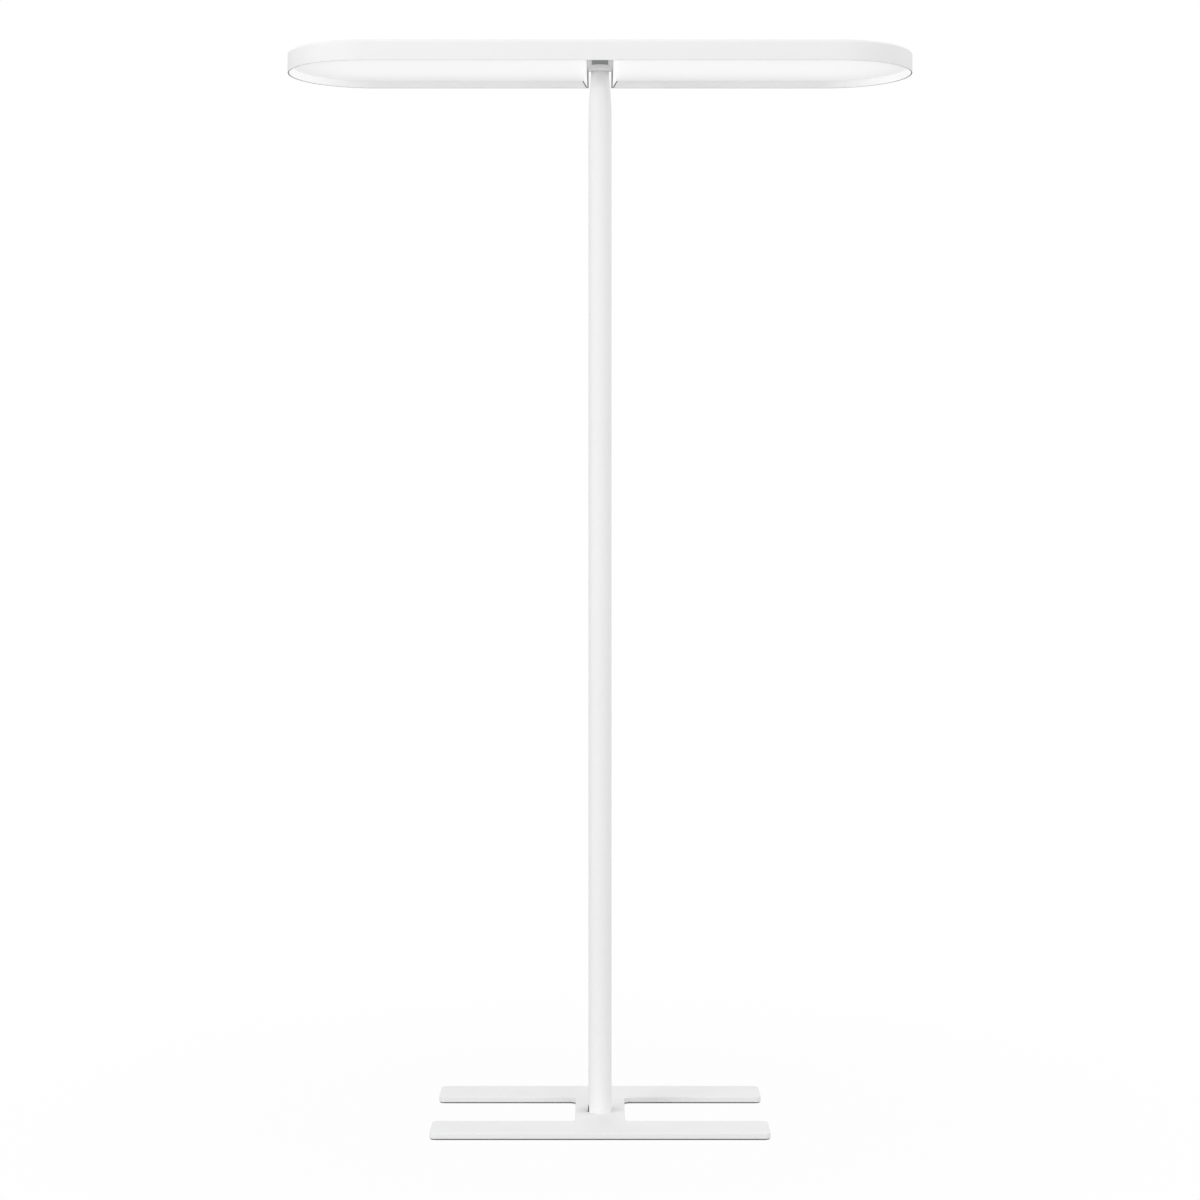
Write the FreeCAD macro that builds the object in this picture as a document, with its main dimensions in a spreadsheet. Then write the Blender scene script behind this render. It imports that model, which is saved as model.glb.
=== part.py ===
import FreeCAD, Part
import math
import os

import Sketcher

# Office floor lamp: a slim stadium-shaped head on a round column with an H-shaped floor plate.
# Millimetres, +Z up. The origin is on the floor under the middle of the floor plate, +X runs along
# the head, and the head's slot opens towards +Y. The column stands a little in front of the middle.

# ---------------------------------------------------------------- driving dimensions
SIZES = (
    # floor plate
    ("base_width", 600.0),
    ("base_depth", 360.0),
    ("bar_depth", 90.0),
    ("web_width", 90.0),
    ("plate_thickness", 10.0),
    ("plate_corner_radius", 10.0),
    ("web_corner_radius", 10.0),
    ("plate_edge_bevel", 1.0),
    ("pad_length", 80.0),
    ("pad_width", 30.0),
    ("pad_thickness", 2.0),
    ("pad_edge_distance", 12.0),
    # column and its neck
    ("column_diameter", 42.0),
    ("column_wall", 2.0),
    ("column_forward", 19.0),
    ("clear_height", 1890.0),
    ("neck_drop", 64.0),
    ("neck_top_radius", 15.2),
    ("neck_wall", 2.0),
    ("neck_blend_radius", 150.0),
    # fastening of column and plate
    ("foot_plug_height", 40.0),
    ("base_screw_diameter", 6.0),
    ("base_screw_head_diameter", 11.5),
    ("base_screw_head_height", 4.0),
    ("base_screw_length", 30.0),
    ("base_screw_distance", 11.0),
    ("screw_hole_clearance", 0.2),
    ("cut_overrun", 1.0),
    # cable outlet in the column's foot
    ("outlet_width", 12.0),
    ("outlet_height", 12.0),
    ("grommet_stand_out", 0.8),
    ("grommet_depth", 3.8),
    ("mains_lead_width", 5.4),
    ("mains_lead_thickness", 3.6),
    ("mains_lead_offset", 8.4),
    ("lead_bend_radius", 8.0),
    ("lead_clearance", 0.1),
    # push button in the back of the column
    ("button_height", 1150.0),
    ("button_diameter", 12.0),
    ("button_stand_out", 2.0),
    ("button_travel", 1.0),
    ("button_guide_depth", 4.0),
    ("button_clearance", 0.1),
    ("housing_wall", 1.5),
    ("housing_stand_out", 0.8),
    ("housing_depth", 15.0),
    ("switch_width", 7.0),
    ("switch_thickness", 3.5),
    ("plunger_radius", 1.7),
    ("ribbon_width", 4.0),
    ("ribbon_thickness", 1.0),
    ("ribbon_bend_radius", 3.0),
    ("ribbon_offset", 3.0),
    # head frame
    ("head_length", 1140.0),
    ("head_depth", 296.0),
    ("frame_height", 31.5),
    ("rim_wall", 3.0),
    ("lip_width", 2.5),
    ("lip_edge_bevel", 0.8),
    ("reveal_run", 7.5),
    ("reveal_rise", 12.0),
    ("slot_width", 42.0),
    ("spine_wall", 6.5),
    ("bay_recess", 10.0),
    ("wire_notch_width", 8.0),
    ("wire_notch_depth", 6.0),
    # socket that joins head and column
    ("flange_depth", 60.0),
    ("flange_thickness", 4.0),
    ("collar_radius", 19.0),
    ("collar_height", 12.0),
    ("fit_clearance", 0.05),
    ("socket_screw_diameter", 3.0),
    ("socket_screw_length", 10.0),
    ("socket_screw_head_diameter", 6.0),
    ("socket_screw_head_height", 2.0),
    ("screw_hole_depth", 14.0),
    ("grub_screw_diameter", 4.0),
    ("grub_screw_spread", 35.0),
    # top cover and the clear covers of the uplight
    ("cover_height", 6.0),
    ("cover_skin", 2.5),
    ("cover_border", 8.0),
    ("cover_edge_bevel", 4.0),
    ("window_border", 24.0),
    ("window_start", 110.0),
    ("uplight_cover_thickness", 3.0),
    ("uplight_cover_overlap", 6.0),
    ("cover_screw_diameter", 3.0),
    ("cover_screw_head_diameter", 5.5),
    ("cover_screw_head_height", 1.6),
    ("cover_screw_length", 14.0),
    ("cover_screw_line", 60.0),
    # light units
    ("part_clearance", 0.4),
    ("diffuser_thickness", 2.5),
    ("tray_sheet", 1.2),
    ("tray_box_depth", 8.0),
    ("led_strip_start", 102.0),
    ("led_strip_length", 440.0),
    ("led_strip_width", 14.0),
    ("led_strip_thickness", 1.2),
    ("downlight_pitch", 110.0),
    ("uplight_pitch", 130.0),
    # control gear
    ("driver_width", 34.0),
    ("driver_length", 230.0),
    ("driver_thickness", 11.0),
    ("driver_start", 34.0),
    ("control_board_width", 30.0),
    ("control_board_length", 90.0),
    ("control_board_thickness", 1.6),
    ("terminal_block_width", 24.0),
    ("terminal_block_length", 23.0),
    ("terminal_block_gap", 4.0),
    ("sensor_window_thickness", 2.0),
    ("sensor_module_width", 30.0),
    ("sensor_module_length", 50.0),
    ("sensor_module_height", 8.0),
    ("sensor_lens_radius", 6.0),
    ("sensor_lens_height", 4.0),
    ("sensor_post_width", 4.0),
    ("driver_lead_width", 5.4),
    ("driver_lead_thickness", 3.0),
)

doc = FreeCAD.newDocument("office_floor_lamp")
sheet = doc.addObject("Spreadsheet::Sheet", "Sizes")
for row, (alias, number) in enumerate(SIZES, start=1):
    sheet.set("A%d" % row, alias)
    sheet.set("B%d" % row, "%g" % number)
    sheet.setAlias("B%d" % row, alias)
doc.recompute()


# ---------------------------------------------------------------- sizes with their formula
class Size:
    """A number worked out from the sheet: its value, and the formula that keeps a piece bound to it."""

    def __init__(self, value, formula):
        self.value = value
        self.formula = formula

    def __add__(self, other):
        other = as_size(other)
        return Size(self.value + other.value, "(%s + %s)" % (self.formula, other.formula))

    def __sub__(self, other):
        other = as_size(other)
        return Size(self.value - other.value, "(%s - %s)" % (self.formula, other.formula))

    def __mul__(self, other):
        other = as_size(other)
        return Size(self.value * other.value, "(%s * %s)" % (self.formula, other.formula))

    def __truediv__(self, other):
        other = as_size(other)
        return Size(self.value / other.value, "(%s / %s)" % (self.formula, other.formula))

    def __neg__(self):
        return Size(-self.value, "(-%s)" % self.formula)


def as_size(number):
    """Give a plain number the form of a Size."""
    if isinstance(number, Size):
        return number
    return Size(float(number), "%g" % number)


def size(alias):
    """The Size of one cell of the sheet."""
    return Size(float(sheet.get(alias)), "Sizes.%s" % alias)


def root(square):
    """The square root of a Size."""
    return Size(math.sqrt(square.value), "sqrt(%s)" % square.formula)


ZERO = as_size(0)

# ---------------------------------------------------------------- levels and places shared by the pieces
PLATE_BOTTOM = size("pad_thickness")
PLATE_TOP = PLATE_BOTTOM + size("plate_thickness")
HEAD_BOTTOM = PLATE_TOP + size("clear_height")
LEDGE = HEAD_BOTTOM + size("reveal_rise")
BAY_CEILING = HEAD_BOTTOM + size("bay_recess")
FRAME_TOP = HEAD_BOTTOM + size("frame_height")
FLANGE_BOTTOM = FRAME_TOP - size("flange_thickness")
TRAY_BOTTOM = LEDGE + size("diffuser_thickness")
TRAY_FLOOR = TRAY_BOTTOM + size("tray_box_depth")
WINDOW_TOP = BAY_CEILING + size("sensor_window_thickness")
COVER_CEILING = FRAME_TOP + size("cover_height") - size("cover_skin")

COLUMN_RADIUS = size("column_diameter") / 2
COLUMN_Y = -size("column_forward")
BORE_RADIUS = COLUMN_RADIUS - size("column_wall")
HEAD_RADIUS = size("head_depth") / 2
END_CENTRE = size("head_length") / 2 - HEAD_RADIUS
SLOT_HALF = size("slot_width") / 2
SPINE_HALF = SLOT_HALF + size("spine_wall")


# ---------------------------------------------------------------- document helpers
def bind(piece, **bound_sizes):
    """Set properties of a piece and bind each one to its formula."""
    for name, bound in bound_sizes.items():
        bound = as_size(bound)
        setattr(piece, name, bound.value)
        piece.setExpression(name, bound.formula)


def place(piece, x=ZERO, y=ZERO, z=ZERO, rotation=None):
    """Put a piece at a bound place, turned by a fixed rotation."""
    position = [as_size(number) for number in (x, y, z)]
    turn = rotation or FreeCAD.Rotation()
    piece.Placement = FreeCAD.Placement(FreeCAD.Vector(*[p.value for p in position]), turn)
    for axis, bound in zip("xyz", position):
        piece.setExpression(".Placement.Base.%s" % axis, bound.formula)


def new_body(name):
    """Start a sub-part that is built from sketches."""
    body = doc.addObject("PartDesign::Body", name)
    body.Label = name
    return body


def new_sketch(body, plane="XY_Plane", lift=ZERO):
    """Attach an empty sketch to one of the body's own planes, lifted off it by a bound distance."""
    sketch = body.newObject("Sketcher::SketchObject", "%s_sketch" % body.Name)
    support = [feature for feature in body.Origin.OriginFeatures if feature.Role == plane][0]
    sketch.AttachmentSupport = (support, [""])
    sketch.MapMode = "FlatFace"
    lift = as_size(lift)
    sketch.AttachmentOffset = FreeCAD.Placement(FreeCAD.Vector(0, 0, lift.value), FreeCAD.Rotation())
    sketch.setExpression(".AttachmentOffset.Base.z", lift.formula)
    return sketch


def fix_point(sketch, geometry, position, x, y):
    """Hold one point of a sketch at bound coordinates."""
    for kind, bound in (("DistanceX", x), ("DistanceY", y)):
        index = sketch.addConstraint(Sketcher.Constraint(kind, -1, 1, geometry, position, bound.value))
        sketch.setExpression("Constraints[%d]" % index, bound.formula)


def draw_circle(sketch, x, y, radius):
    """Draw a circle at a bound place with a bound radius."""
    centre = FreeCAD.Vector(as_size(x).value, as_size(y).value, 0)
    circle = sketch.addGeometry(Part.Circle(centre, FreeCAD.Vector(0, 0, 1), radius.value), False)
    fix_point(sketch, circle, 3, as_size(x), as_size(y))
    index = sketch.addConstraint(Sketcher.Constraint("Radius", circle, radius.value))
    sketch.setExpression("Constraints[%d]" % index, radius.formula)


def draw_outline(sketch, corners):
    """Draw a closed outline.

    A corner is (x, y) where a straight side starts, or (x, y, centre x, centre y, turn) where an arc
    starts, with turn +1 for anticlockwise and -1 for clockwise.
    """
    corners = [tuple(as_size(number) if index < 4 else number for index, number in enumerate(corner))
               for corner in corners]
    points = [FreeCAD.Vector(corner[0].value, corner[1].value, 0) for corner in corners]
    ends = []
    for index, corner in enumerate(corners):
        start = points[index]
        finish = points[(index + 1) % len(points)]
        if len(corner) == 2:
            side = sketch.addGeometry(Part.LineSegment(start, finish), False)
            ends.append((side, 1, 2))
            continue
        centre = FreeCAD.Vector(corner[2].value, corner[3].value, 0)
        first, last = (start, finish) if corner[4] > 0 else (finish, start)
        angles = [math.atan2(point.y - centre.y, point.x - centre.x) for point in (first, last)]
        circle = Part.Circle(centre, FreeCAD.Vector(0, 0, 1), (start - centre).Length)
        side = sketch.addGeometry(Part.ArcOfCircle(circle, *angles), False)
        ends.append((side, 1, 2) if corner[4] > 0 else (side, 2, 1))
    for index, corner in enumerate(corners):
        side, begin, end = ends[index]
        next_side, next_begin, _ = ends[(index + 1) % len(ends)]
        sketch.addConstraint(Sketcher.Constraint("Coincident", side, end, next_side, next_begin))
        fix_point(sketch, side, begin, corner[0], corner[1])
        if len(corner) > 2:
            chord = points[(index + 1) % len(points)] - points[index]
            across = abs(chord.y) >= abs(chord.x)
            kind, bound = ("DistanceX", corner[2]) if across else ("DistanceY", corner[3])
            number = sketch.addConstraint(Sketcher.Constraint(kind, -1, 1, side, 3, bound.value))
            sketch.setExpression("Constraints[%d]" % number, bound.formula)


def draw_rectangle(sketch, x_low, x_high, y_low, y_high):
    """Draw a rectangle between bound sides."""
    draw_outline(sketch, [(x_low, y_low), (x_high, y_low), (x_high, y_high), (x_low, y_high)])


def draw_rounded(sketch, corners):
    """Draw an outline of square corners (x, y, radius), each rounded with its own radius."""
    path = []
    count = len(corners)
    for index, (x, y, radius) in enumerate(corners):
        x, y, radius = as_size(x), as_size(y), as_size(radius)
        before = [as_size(number) for number in corners[index - 1][:2]]
        after = [as_size(number) for number in corners[(index + 1) % count][:2]]
        back = (step(before[0].value - x.value), step(before[1].value - y.value))
        ahead = (step(after[0].value - x.value), step(after[1].value - y.value))
        centre = (x + radius * (back[0] + ahead[0]), y + radius * (back[1] + ahead[1]))
        turn = 1 if ahead[1] * back[0] - ahead[0] * back[1] > 0 else -1
        path.append((x + radius * back[0], y + radius * back[1], centre[0], centre[1], -turn))
        path.append((x + radius * ahead[0], y + radius * ahead[1]))
    draw_outline(sketch, path)


def step(number):
    """The sign of a number, or 0 where it is nothing."""
    return 0 if abs(number) < 1e-6 else int(math.copysign(1, number))


def pad(body, sketch, length):
    """Raise a sketch into a solid."""
    feature = body.newObject("PartDesign::Pad", "%s_pad" % body.Name)
    feature.Profile = sketch
    bind(feature, Length=length)
    return feature


def pocket(body, sketch, depth, upwards=True):
    """Cut a sketch out of a solid, upwards or downwards from its own level."""
    doc.recompute()
    before = body.Shape.Volume
    feature = body.newObject("PartDesign::Pocket", "%s_pocket" % body.Name)
    feature.Profile = sketch
    feature.Type = "Length"
    feature.Reversed = upwards
    bind(feature, Length=depth)
    doc.recompute()
    if body.Shape.Volume > before - 1e-3:
        raise ValueError("%s cuts nothing" % feature.Name)
    return feature


def splayed_cut(body, low_corners, high_corners, rise):
    """Cut an opening upwards from the body's underside whose walls lean from one outline to another."""
    doc.recompute()
    before = body.Shape.Volume
    low = new_sketch(body)
    draw_outline(low, low_corners)
    high = new_sketch(body, lift=rise)
    draw_outline(high, high_corners)
    feature = body.newObject("PartDesign::SubtractiveLoft", "%s_splay" % body.Name)
    feature.Profile = low
    feature.Sections = [high]
    feature.Ruled = True
    doc.recompute()
    if body.Shape.Volume > before - 1e-3:
        raise ValueError("%s cuts nothing" % feature.Name)
    return feature


def revolve(body, sketch, axis="Z_Axis"):
    """Turn a half profile once round one of the body's own axes."""
    feature = body.newObject("PartDesign::Revolution", "%s_revolution" % body.Name)
    feature.Profile = sketch
    line = [item for item in body.Origin.OriginFeatures if item.Role == axis][0]
    feature.ReferenceAxis = (line, [""])
    feature.Angle = 360
    return feature


def bevel_edges(body, width, wanted):
    """Bevel the edges that a test picks."""
    doc.recompute()
    base = body.Tip
    names = ["Edge%d" % number for number, edge in enumerate(base.Shape.Edges, start=1) if wanted(edge)]
    feature = body.newObject("PartDesign::Chamfer", "%s_bevel" % body.Name)
    feature.Base = (base, names)
    bind(feature, Size=width)
    doc.recompute()
    return feature


def at_level(edge, level):
    """Whether an edge lies flat at one height."""
    box = edge.BoundBox
    return abs(box.ZMin - level) < 1e-4 and abs(box.ZMax - level) < 1e-4


def box_piece(name, x_low, x_size, y_low, y_size, z_low, z_size):
    """A plain block between bound faces."""
    block = doc.addObject("Part::Box", name)
    bind(block, Length=x_size, Width=y_size, Height=z_size)
    place(block, x_low, y_low, z_low)
    return block


def rod(name, x, y, z, radius, length, rotation=None):
    """A plain round bar from a bound point."""
    bar = doc.addObject("Part::Cylinder", name)
    bind(bar, Radius=radius, Height=length)
    place(bar, x, y, z, rotation)
    return bar


def join(name, pieces):
    """Join touching primitives into one solid."""
    fused = doc.addObject("Part::MultiFuse", name)
    fused.Shapes = pieces
    return fused


def cut(name, base, tool):
    """Take one solid out of another."""
    result = doc.addObject("Part::Cut", name)
    result.Base = base
    result.Tool = tool
    return result


def group(name, pieces):
    """Hold identical separate solids together as one sub-part."""
    compound = doc.addObject("Part::Compound", name)
    compound.Links = pieces
    compound.Label = name
    return compound


def hexagon_screw(name, x, y, z, series, upwards):
    """One screw whose head face lies at z and whose shank points up or down.

    Its sizes are the sheet's cells that start with the series' name. The head diameter runs over its corners.
    """
    turn = FreeCAD.Rotation() if upwards else FreeCAD.Rotation(FreeCAD.Vector(1, 0, 0), 180)
    head = doc.addObject("Part::Prism", name + "_head")
    head.Polygon = 6
    bind(head, Circumradius=size(series + "_head_diameter") / 2, Height=size(series + "_head_height"))
    place(head, x, y, z, turn)
    shank = rod(name + "_shank", x, y, z, size(series + "_diameter") / 2, size(series + "_length"), turn)
    return join(name, [head, shank])


def screw_holes(body, places, series, face, thickness, upwards=False):
    """Cut clearance holes and the seats of the heads from one face of a body."""
    clearance = size("screw_hole_clearance")
    holes = new_sketch(body, lift=face)
    seats = new_sketch(body, lift=face)
    for x, y in places:
        draw_circle(holes, x, y, size(series + "_diameter") / 2 + clearance)
        draw_circle(seats, x, y, size(series + "_head_diameter") / 2 + clearance)
    pocket(body, holes, thickness, upwards=upwards)
    pocket(body, seats, size(series + "_head_height"), upwards=upwards)


def lead_section(x, y, z, width, thickness, plane):
    """A flat lead's outline round a point, upright in the YZ or XZ plane, with its width level."""
    centre = FreeCAD.Vector(as_size(x).value, as_size(y).value, as_size(z).value)
    across = FreeCAD.Vector(0, 1, 0) if plane == "YZ" else FreeCAD.Vector(1, 0, 0)
    half_width = across * (width.value / 2)
    half_height = FreeCAD.Vector(0, 0, thickness.value / 2)
    return Part.makePolygon([centre - half_width - half_height, centre + half_width - half_height,
                             centre + half_width + half_height, centre - half_width + half_height,
                             centre - half_width - half_height])


def bent_lead(name, points, bend, section):
    """A lead along straight runs that are joined by bends of one radius."""
    corners = [FreeCAD.Vector(*[as_size(number).value for number in point]) for point in points]
    edges = []
    start = corners[0]
    for before, corner, after in zip(corners, corners[1:], corners[2:]):
        back = (before - corner).normalize()
        ahead = (after - corner).normalize()
        half = back.getAngle(ahead) / 2
        first = corner + back * (bend.value / math.tan(half))
        last = corner + ahead * (bend.value / math.tan(half))
        crown = corner + (back + ahead).normalize() * (bend.value / math.sin(half) - bend.value)
        edges.append(Part.LineSegment(start, first).toShape())
        edges.append(Part.Arc(first, crown, last).toShape())
        start = last
    edges.append(Part.LineSegment(start, corners[-1]).toShape())
    lead = doc.addObject("Part::Feature", name)
    lead.Shape = Part.Wire(edges).makePipeShell([section], True, False)
    return lead


parts = []


def finish(piece, name):
    """Give a sub-part its own name and list it for writing."""
    piece.Label = name
    parts.append(piece)
    return piece


# ---------------------------------------------------------------- floor plate
def base_screw_places():
    """Where the two base screws stand, before and behind the column's axis."""
    reach = size("base_screw_distance")
    return ((ZERO, COLUMN_Y + reach), (ZERO, COLUMN_Y - reach))


def build_base_plate():
    """The H-shaped plate: two bars joined by a web, with screw holes and head seats from below."""
    body = new_body("base_plate")
    half_width = size("base_width") / 2
    half_depth = size("base_depth") / 2
    bar_inner = half_depth - size("bar_depth")
    half_web = size("web_width") / 2
    outer = size("plate_corner_radius")
    inner = size("web_corner_radius")
    corners = [
        (-half_width, -half_depth, outer), (half_width, -half_depth, outer),
        (half_width, -bar_inner, outer), (half_web, -bar_inner, inner),
        (half_web, bar_inner, inner), (half_width, bar_inner, outer),
        (half_width, half_depth, outer), (-half_width, half_depth, outer),
        (-half_width, bar_inner, outer), (-half_web, bar_inner, inner),
        (-half_web, -bar_inner, inner), (-half_width, -bar_inner, outer),
    ]
    sketch = new_sketch(body)
    draw_rounded(sketch, corners)
    pad(body, sketch, size("plate_thickness"))
    bevel_edges(body, size("plate_edge_bevel"), lambda edge: at_level(edge, size("plate_thickness").value))
    screw_holes(body, base_screw_places(), "base_screw", ZERO, size("plate_thickness"), upwards=True)
    place(body, z=PLATE_BOTTOM)
    finish(body, "base_plate")


def build_base_pads():
    """Four thin pads under the ends of the bars."""
    pads = []
    length = size("pad_length")
    width = size("pad_width")
    near = size("base_width") / 2 - size("pad_edge_distance") - length
    y_middle = size("base_depth") / 2 - size("bar_depth") / 2
    for number, (side, row) in enumerate(((-1, -1), (1, -1), (-1, 1), (1, 1)), start=1):
        x_low = near if side > 0 else -near - length
        pads.append(box_piece("base_pad_%d" % number, x_low, length, y_middle * row - width / 2, width, 0,
                              size("pad_thickness")))
    finish(group("base_pads", pads), "base_pads")


def build_base_screws():
    """Two hexagon screws that pull the foot plug down on the plate."""
    screws = [hexagon_screw("base_screw_%d" % number, x, y, PLATE_BOTTOM, "base_screw", True)
              for number, (x, y) in enumerate(base_screw_places(), start=1)]
    finish(group("base_screws", screws), "base_screws")


def build_foot_plug():
    """The plug in the column's lower end, with screw holes and a channel for the mains lead."""
    body = new_body("foot_plug")
    sketch = new_sketch(body)
    draw_circle(sketch, ZERO, ZERO, BORE_RADIUS - size("fit_clearance"))
    pad(body, sketch, size("foot_plug_height"))
    holes = new_sketch(body)
    for x, y in base_screw_places():
        draw_circle(holes, x, y - COLUMN_Y, size("base_screw_diameter") / 2 + size("fit_clearance"))
    pocket(body, holes, size("foot_plug_height"))
    channel = new_sketch(body)
    half = size("outlet_width") / 2 + size("part_clearance")
    inner = size("mains_lead_thickness") / 2 + size("part_clearance") - size("mains_lead_offset")
    draw_rectangle(channel, -COLUMN_RADIUS, inner, -half, half)
    pocket(body, channel, size("foot_plug_height"))
    place(body, y=COLUMN_Y, z=PLATE_TOP)
    finish(body, "foot_plug")


# ---------------------------------------------------------------- column
def neck_slope():
    """How much the neck's radius falls for each millimetre of height, up to the socket's collar."""
    taper = size("neck_drop") + size("frame_height") - size("flange_thickness") - size("collar_height")
    return (COLUMN_RADIUS - size("neck_top_radius")) / taper


def build_column_tube():
    """The round tube: straight up to the neck, then tapered evenly to a spigot for the socket's collar."""
    body = new_body("column_tube")
    shoulder = HEAD_BOTTOM - size("neck_drop") - PLATE_TOP
    top = FLANGE_BOTTOM - PLATE_TOP
    spigot = top - size("collar_height")
    top_radius = size("neck_top_radius")
    spigot_bore = top_radius - size("neck_wall")
    blend = size("neck_blend_radius")
    stretch = root(neck_slope() * neck_slope() + 1)
    reach = blend * (stretch - 1) / neck_slope()
    sketch = new_sketch(body, "XZ_Plane")
    draw_outline(sketch, [
        (BORE_RADIUS, ZERO), (COLUMN_RADIUS, ZERO),
        (COLUMN_RADIUS, shoulder - reach, COLUMN_RADIUS - blend, shoulder - reach, 1),
        (COLUMN_RADIUS - reach * neck_slope() / stretch, shoulder + reach / stretch), (top_radius, spigot),
        (top_radius, top), (spigot_bore, top), (spigot_bore, spigot), (BORE_RADIUS, shoulder)])
    revolve(body, sketch)
    outlet = new_sketch(body, "YZ_Plane")
    half = size("outlet_width") / 2
    crown = size("outlet_height") - half
    draw_outline(outlet, [(-half, ZERO), (half, ZERO), (half, crown, ZERO, crown, 1), (-half, crown)])
    pocket(body, outlet, COLUMN_RADIUS + size("cut_overrun"), upwards=False)
    hole = new_sketch(body, "XZ_Plane")
    draw_circle(hole, ZERO, size("button_height") - PLATE_TOP, housing_radius() + size("fit_clearance"))
    pocket(body, hole, COLUMN_RADIUS + size("cut_overrun"), upwards=False)
    place(body, y=COLUMN_Y, z=PLATE_TOP)
    finish(body, "column_tube")


def build_cable_grommet():
    """The rubber bush in the outlet at the column's foot."""
    body = new_body("cable_grommet")
    half = size("outlet_width") / 2 - size("fit_clearance")
    crown = size("outlet_height") - size("outlet_width") / 2
    sketch = new_sketch(body, "YZ_Plane", -COLUMN_RADIUS - size("grommet_stand_out"))
    draw_outline(sketch, [(-half, ZERO), (half, ZERO), (half, crown, ZERO, crown, 1), (-half, crown)])
    pad(body, sketch, size("grommet_depth"))
    slit = new_sketch(body, "YZ_Plane", -COLUMN_RADIUS - size("grommet_stand_out"))
    half_width = size("mains_lead_width") / 2 + size("lead_clearance")
    half_height = size("mains_lead_thickness") / 2 + size("lead_clearance")
    draw_rectangle(slit, -half_width, half_width, crown - half_height, crown + half_height)
    pocket(body, slit, size("grommet_depth"))
    place(body, y=COLUMN_Y, z=PLATE_TOP)
    finish(body, "cable_grommet")


def channel_level():
    """The height at which both leads leave the neck and run forward to the terminal block."""
    return COVER_CEILING - size("mains_lead_width") / 2 - size("part_clearance")


def terminal_back():
    """The terminal block's face that the leads enter."""
    return COLUMN_Y - size("flange_depth") / 2 - size("terminal_block_gap")


def build_mains_lead():
    """The lead from the grommet up through the column to the terminal block."""
    low = PLATE_TOP + size("outlet_height") - size("outlet_width") / 2
    outer = -COLUMN_RADIUS - size("grommet_stand_out")
    side = -size("mains_lead_offset")
    bend = size("lead_bend_radius")
    level = channel_level()
    points = [(outer, COLUMN_Y, low), (side, COLUMN_Y, low), (side, COLUMN_Y, level),
              (side, terminal_back(), level)]
    section = lead_section(outer, COLUMN_Y, low, size("mains_lead_width"), size("mains_lead_thickness"), "YZ")
    finish(bent_lead("mains_lead", points, bend, section), "mains_lead")


# ---------------------------------------------------------------- push button in the back of the column
def housing_radius():
    """The button housing's outer radius."""
    return size("button_diameter") / 2 + size("button_clearance") + size("housing_wall")


def build_button_housing():
    """The cup that guides the button cap and holds the switch, set in the tube's back."""
    body = new_body("button_housing")
    front = COLUMN_RADIUS + size("housing_stand_out")
    guide = size("button_diameter") / 2 + size("button_clearance")
    sketch = new_sketch(body, "XZ_Plane", -front)
    draw_circle(sketch, ZERO, ZERO, housing_radius())
    pad(body, sketch, size("housing_depth"))
    hollow = new_sketch(body, "XZ_Plane", -front)
    draw_circle(hollow, ZERO, ZERO, guide)
    pocket(body, hollow, size("housing_depth") - size("housing_wall"))
    slit = new_sketch(body, "XZ_Plane", -front)
    half_width = size("ribbon_width") / 2 + size("lead_clearance")
    half_height = size("ribbon_thickness") / 2 + size("lead_clearance")
    draw_rectangle(slit, -half_width, half_width, -half_height, half_height)
    pocket(body, slit, size("housing_depth"))
    place(body, y=COLUMN_Y, z=size("button_height"))
    finish(body, "button_housing")


def build_button_cap():
    """The cap: a plain disc that slides in the housing."""
    body = new_body("button_cap")
    outer_face = COLUMN_RADIUS + size("button_stand_out")
    sketch = new_sketch(body, "XZ_Plane", -outer_face)
    draw_circle(sketch, ZERO, ZERO, size("button_diameter") / 2)
    pad(body, sketch, size("button_guide_depth"))
    place(body, y=COLUMN_Y, z=size("button_height"))
    finish(body, "button_cap")


def build_button_switch():
    """The tactile switch on the bottom of the housing, with its plunger short of the cap's travel."""
    floor = COLUMN_Y + COLUMN_RADIUS + size("housing_stand_out") - size("housing_depth") + size("housing_wall")
    cap_back = COLUMN_Y + COLUMN_RADIUS + size("button_stand_out") - size("button_guide_depth")
    plunger_end = cap_back - size("button_travel") - size("button_clearance")
    half = size("switch_width") / 2
    block = box_piece("switch_block", -half, size("switch_width"), floor, size("switch_thickness"),
                      size("button_height") - half, size("switch_width"))
    along_y = FreeCAD.Rotation(FreeCAD.Vector(1, 0, 0), -90)
    plunger = rod("switch_plunger", ZERO, floor, size("button_height"), size("plunger_radius"),
                  plunger_end - floor, along_y)
    finish(join("button_switch", [block, plunger]), "button_switch")


def build_button_lead():
    """The ribbon lead from the switch up the column to the terminal block."""
    floor = COLUMN_Y + COLUMN_RADIUS + size("housing_stand_out") - size("housing_depth") + size("housing_wall")
    bend = size("ribbon_bend_radius")
    back = COLUMN_Y + size("ribbon_offset")
    low = size("button_height")
    high = channel_level()
    points = [(ZERO, floor, low), (ZERO, back, low), (ZERO, back, high), (ZERO, terminal_back(), high)]
    section = lead_section(ZERO, floor, low, size("ribbon_width"), size("ribbon_thickness"), "XZ")
    finish(bent_lead("button_lead", points, bend, section), "button_lead")


# ---------------------------------------------------------------- head frame
def stadium_corners(inset):
    """The head's outline without its slot, moved inwards by an inset."""
    radius = HEAD_RADIUS - inset
    return [
        (-END_CENTRE, -radius), (END_CENTRE, -radius, END_CENTRE, ZERO, 1),
        (END_CENTRE, radius), (-END_CENTRE, radius, -END_CENTRE, ZERO, 1)]


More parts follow.
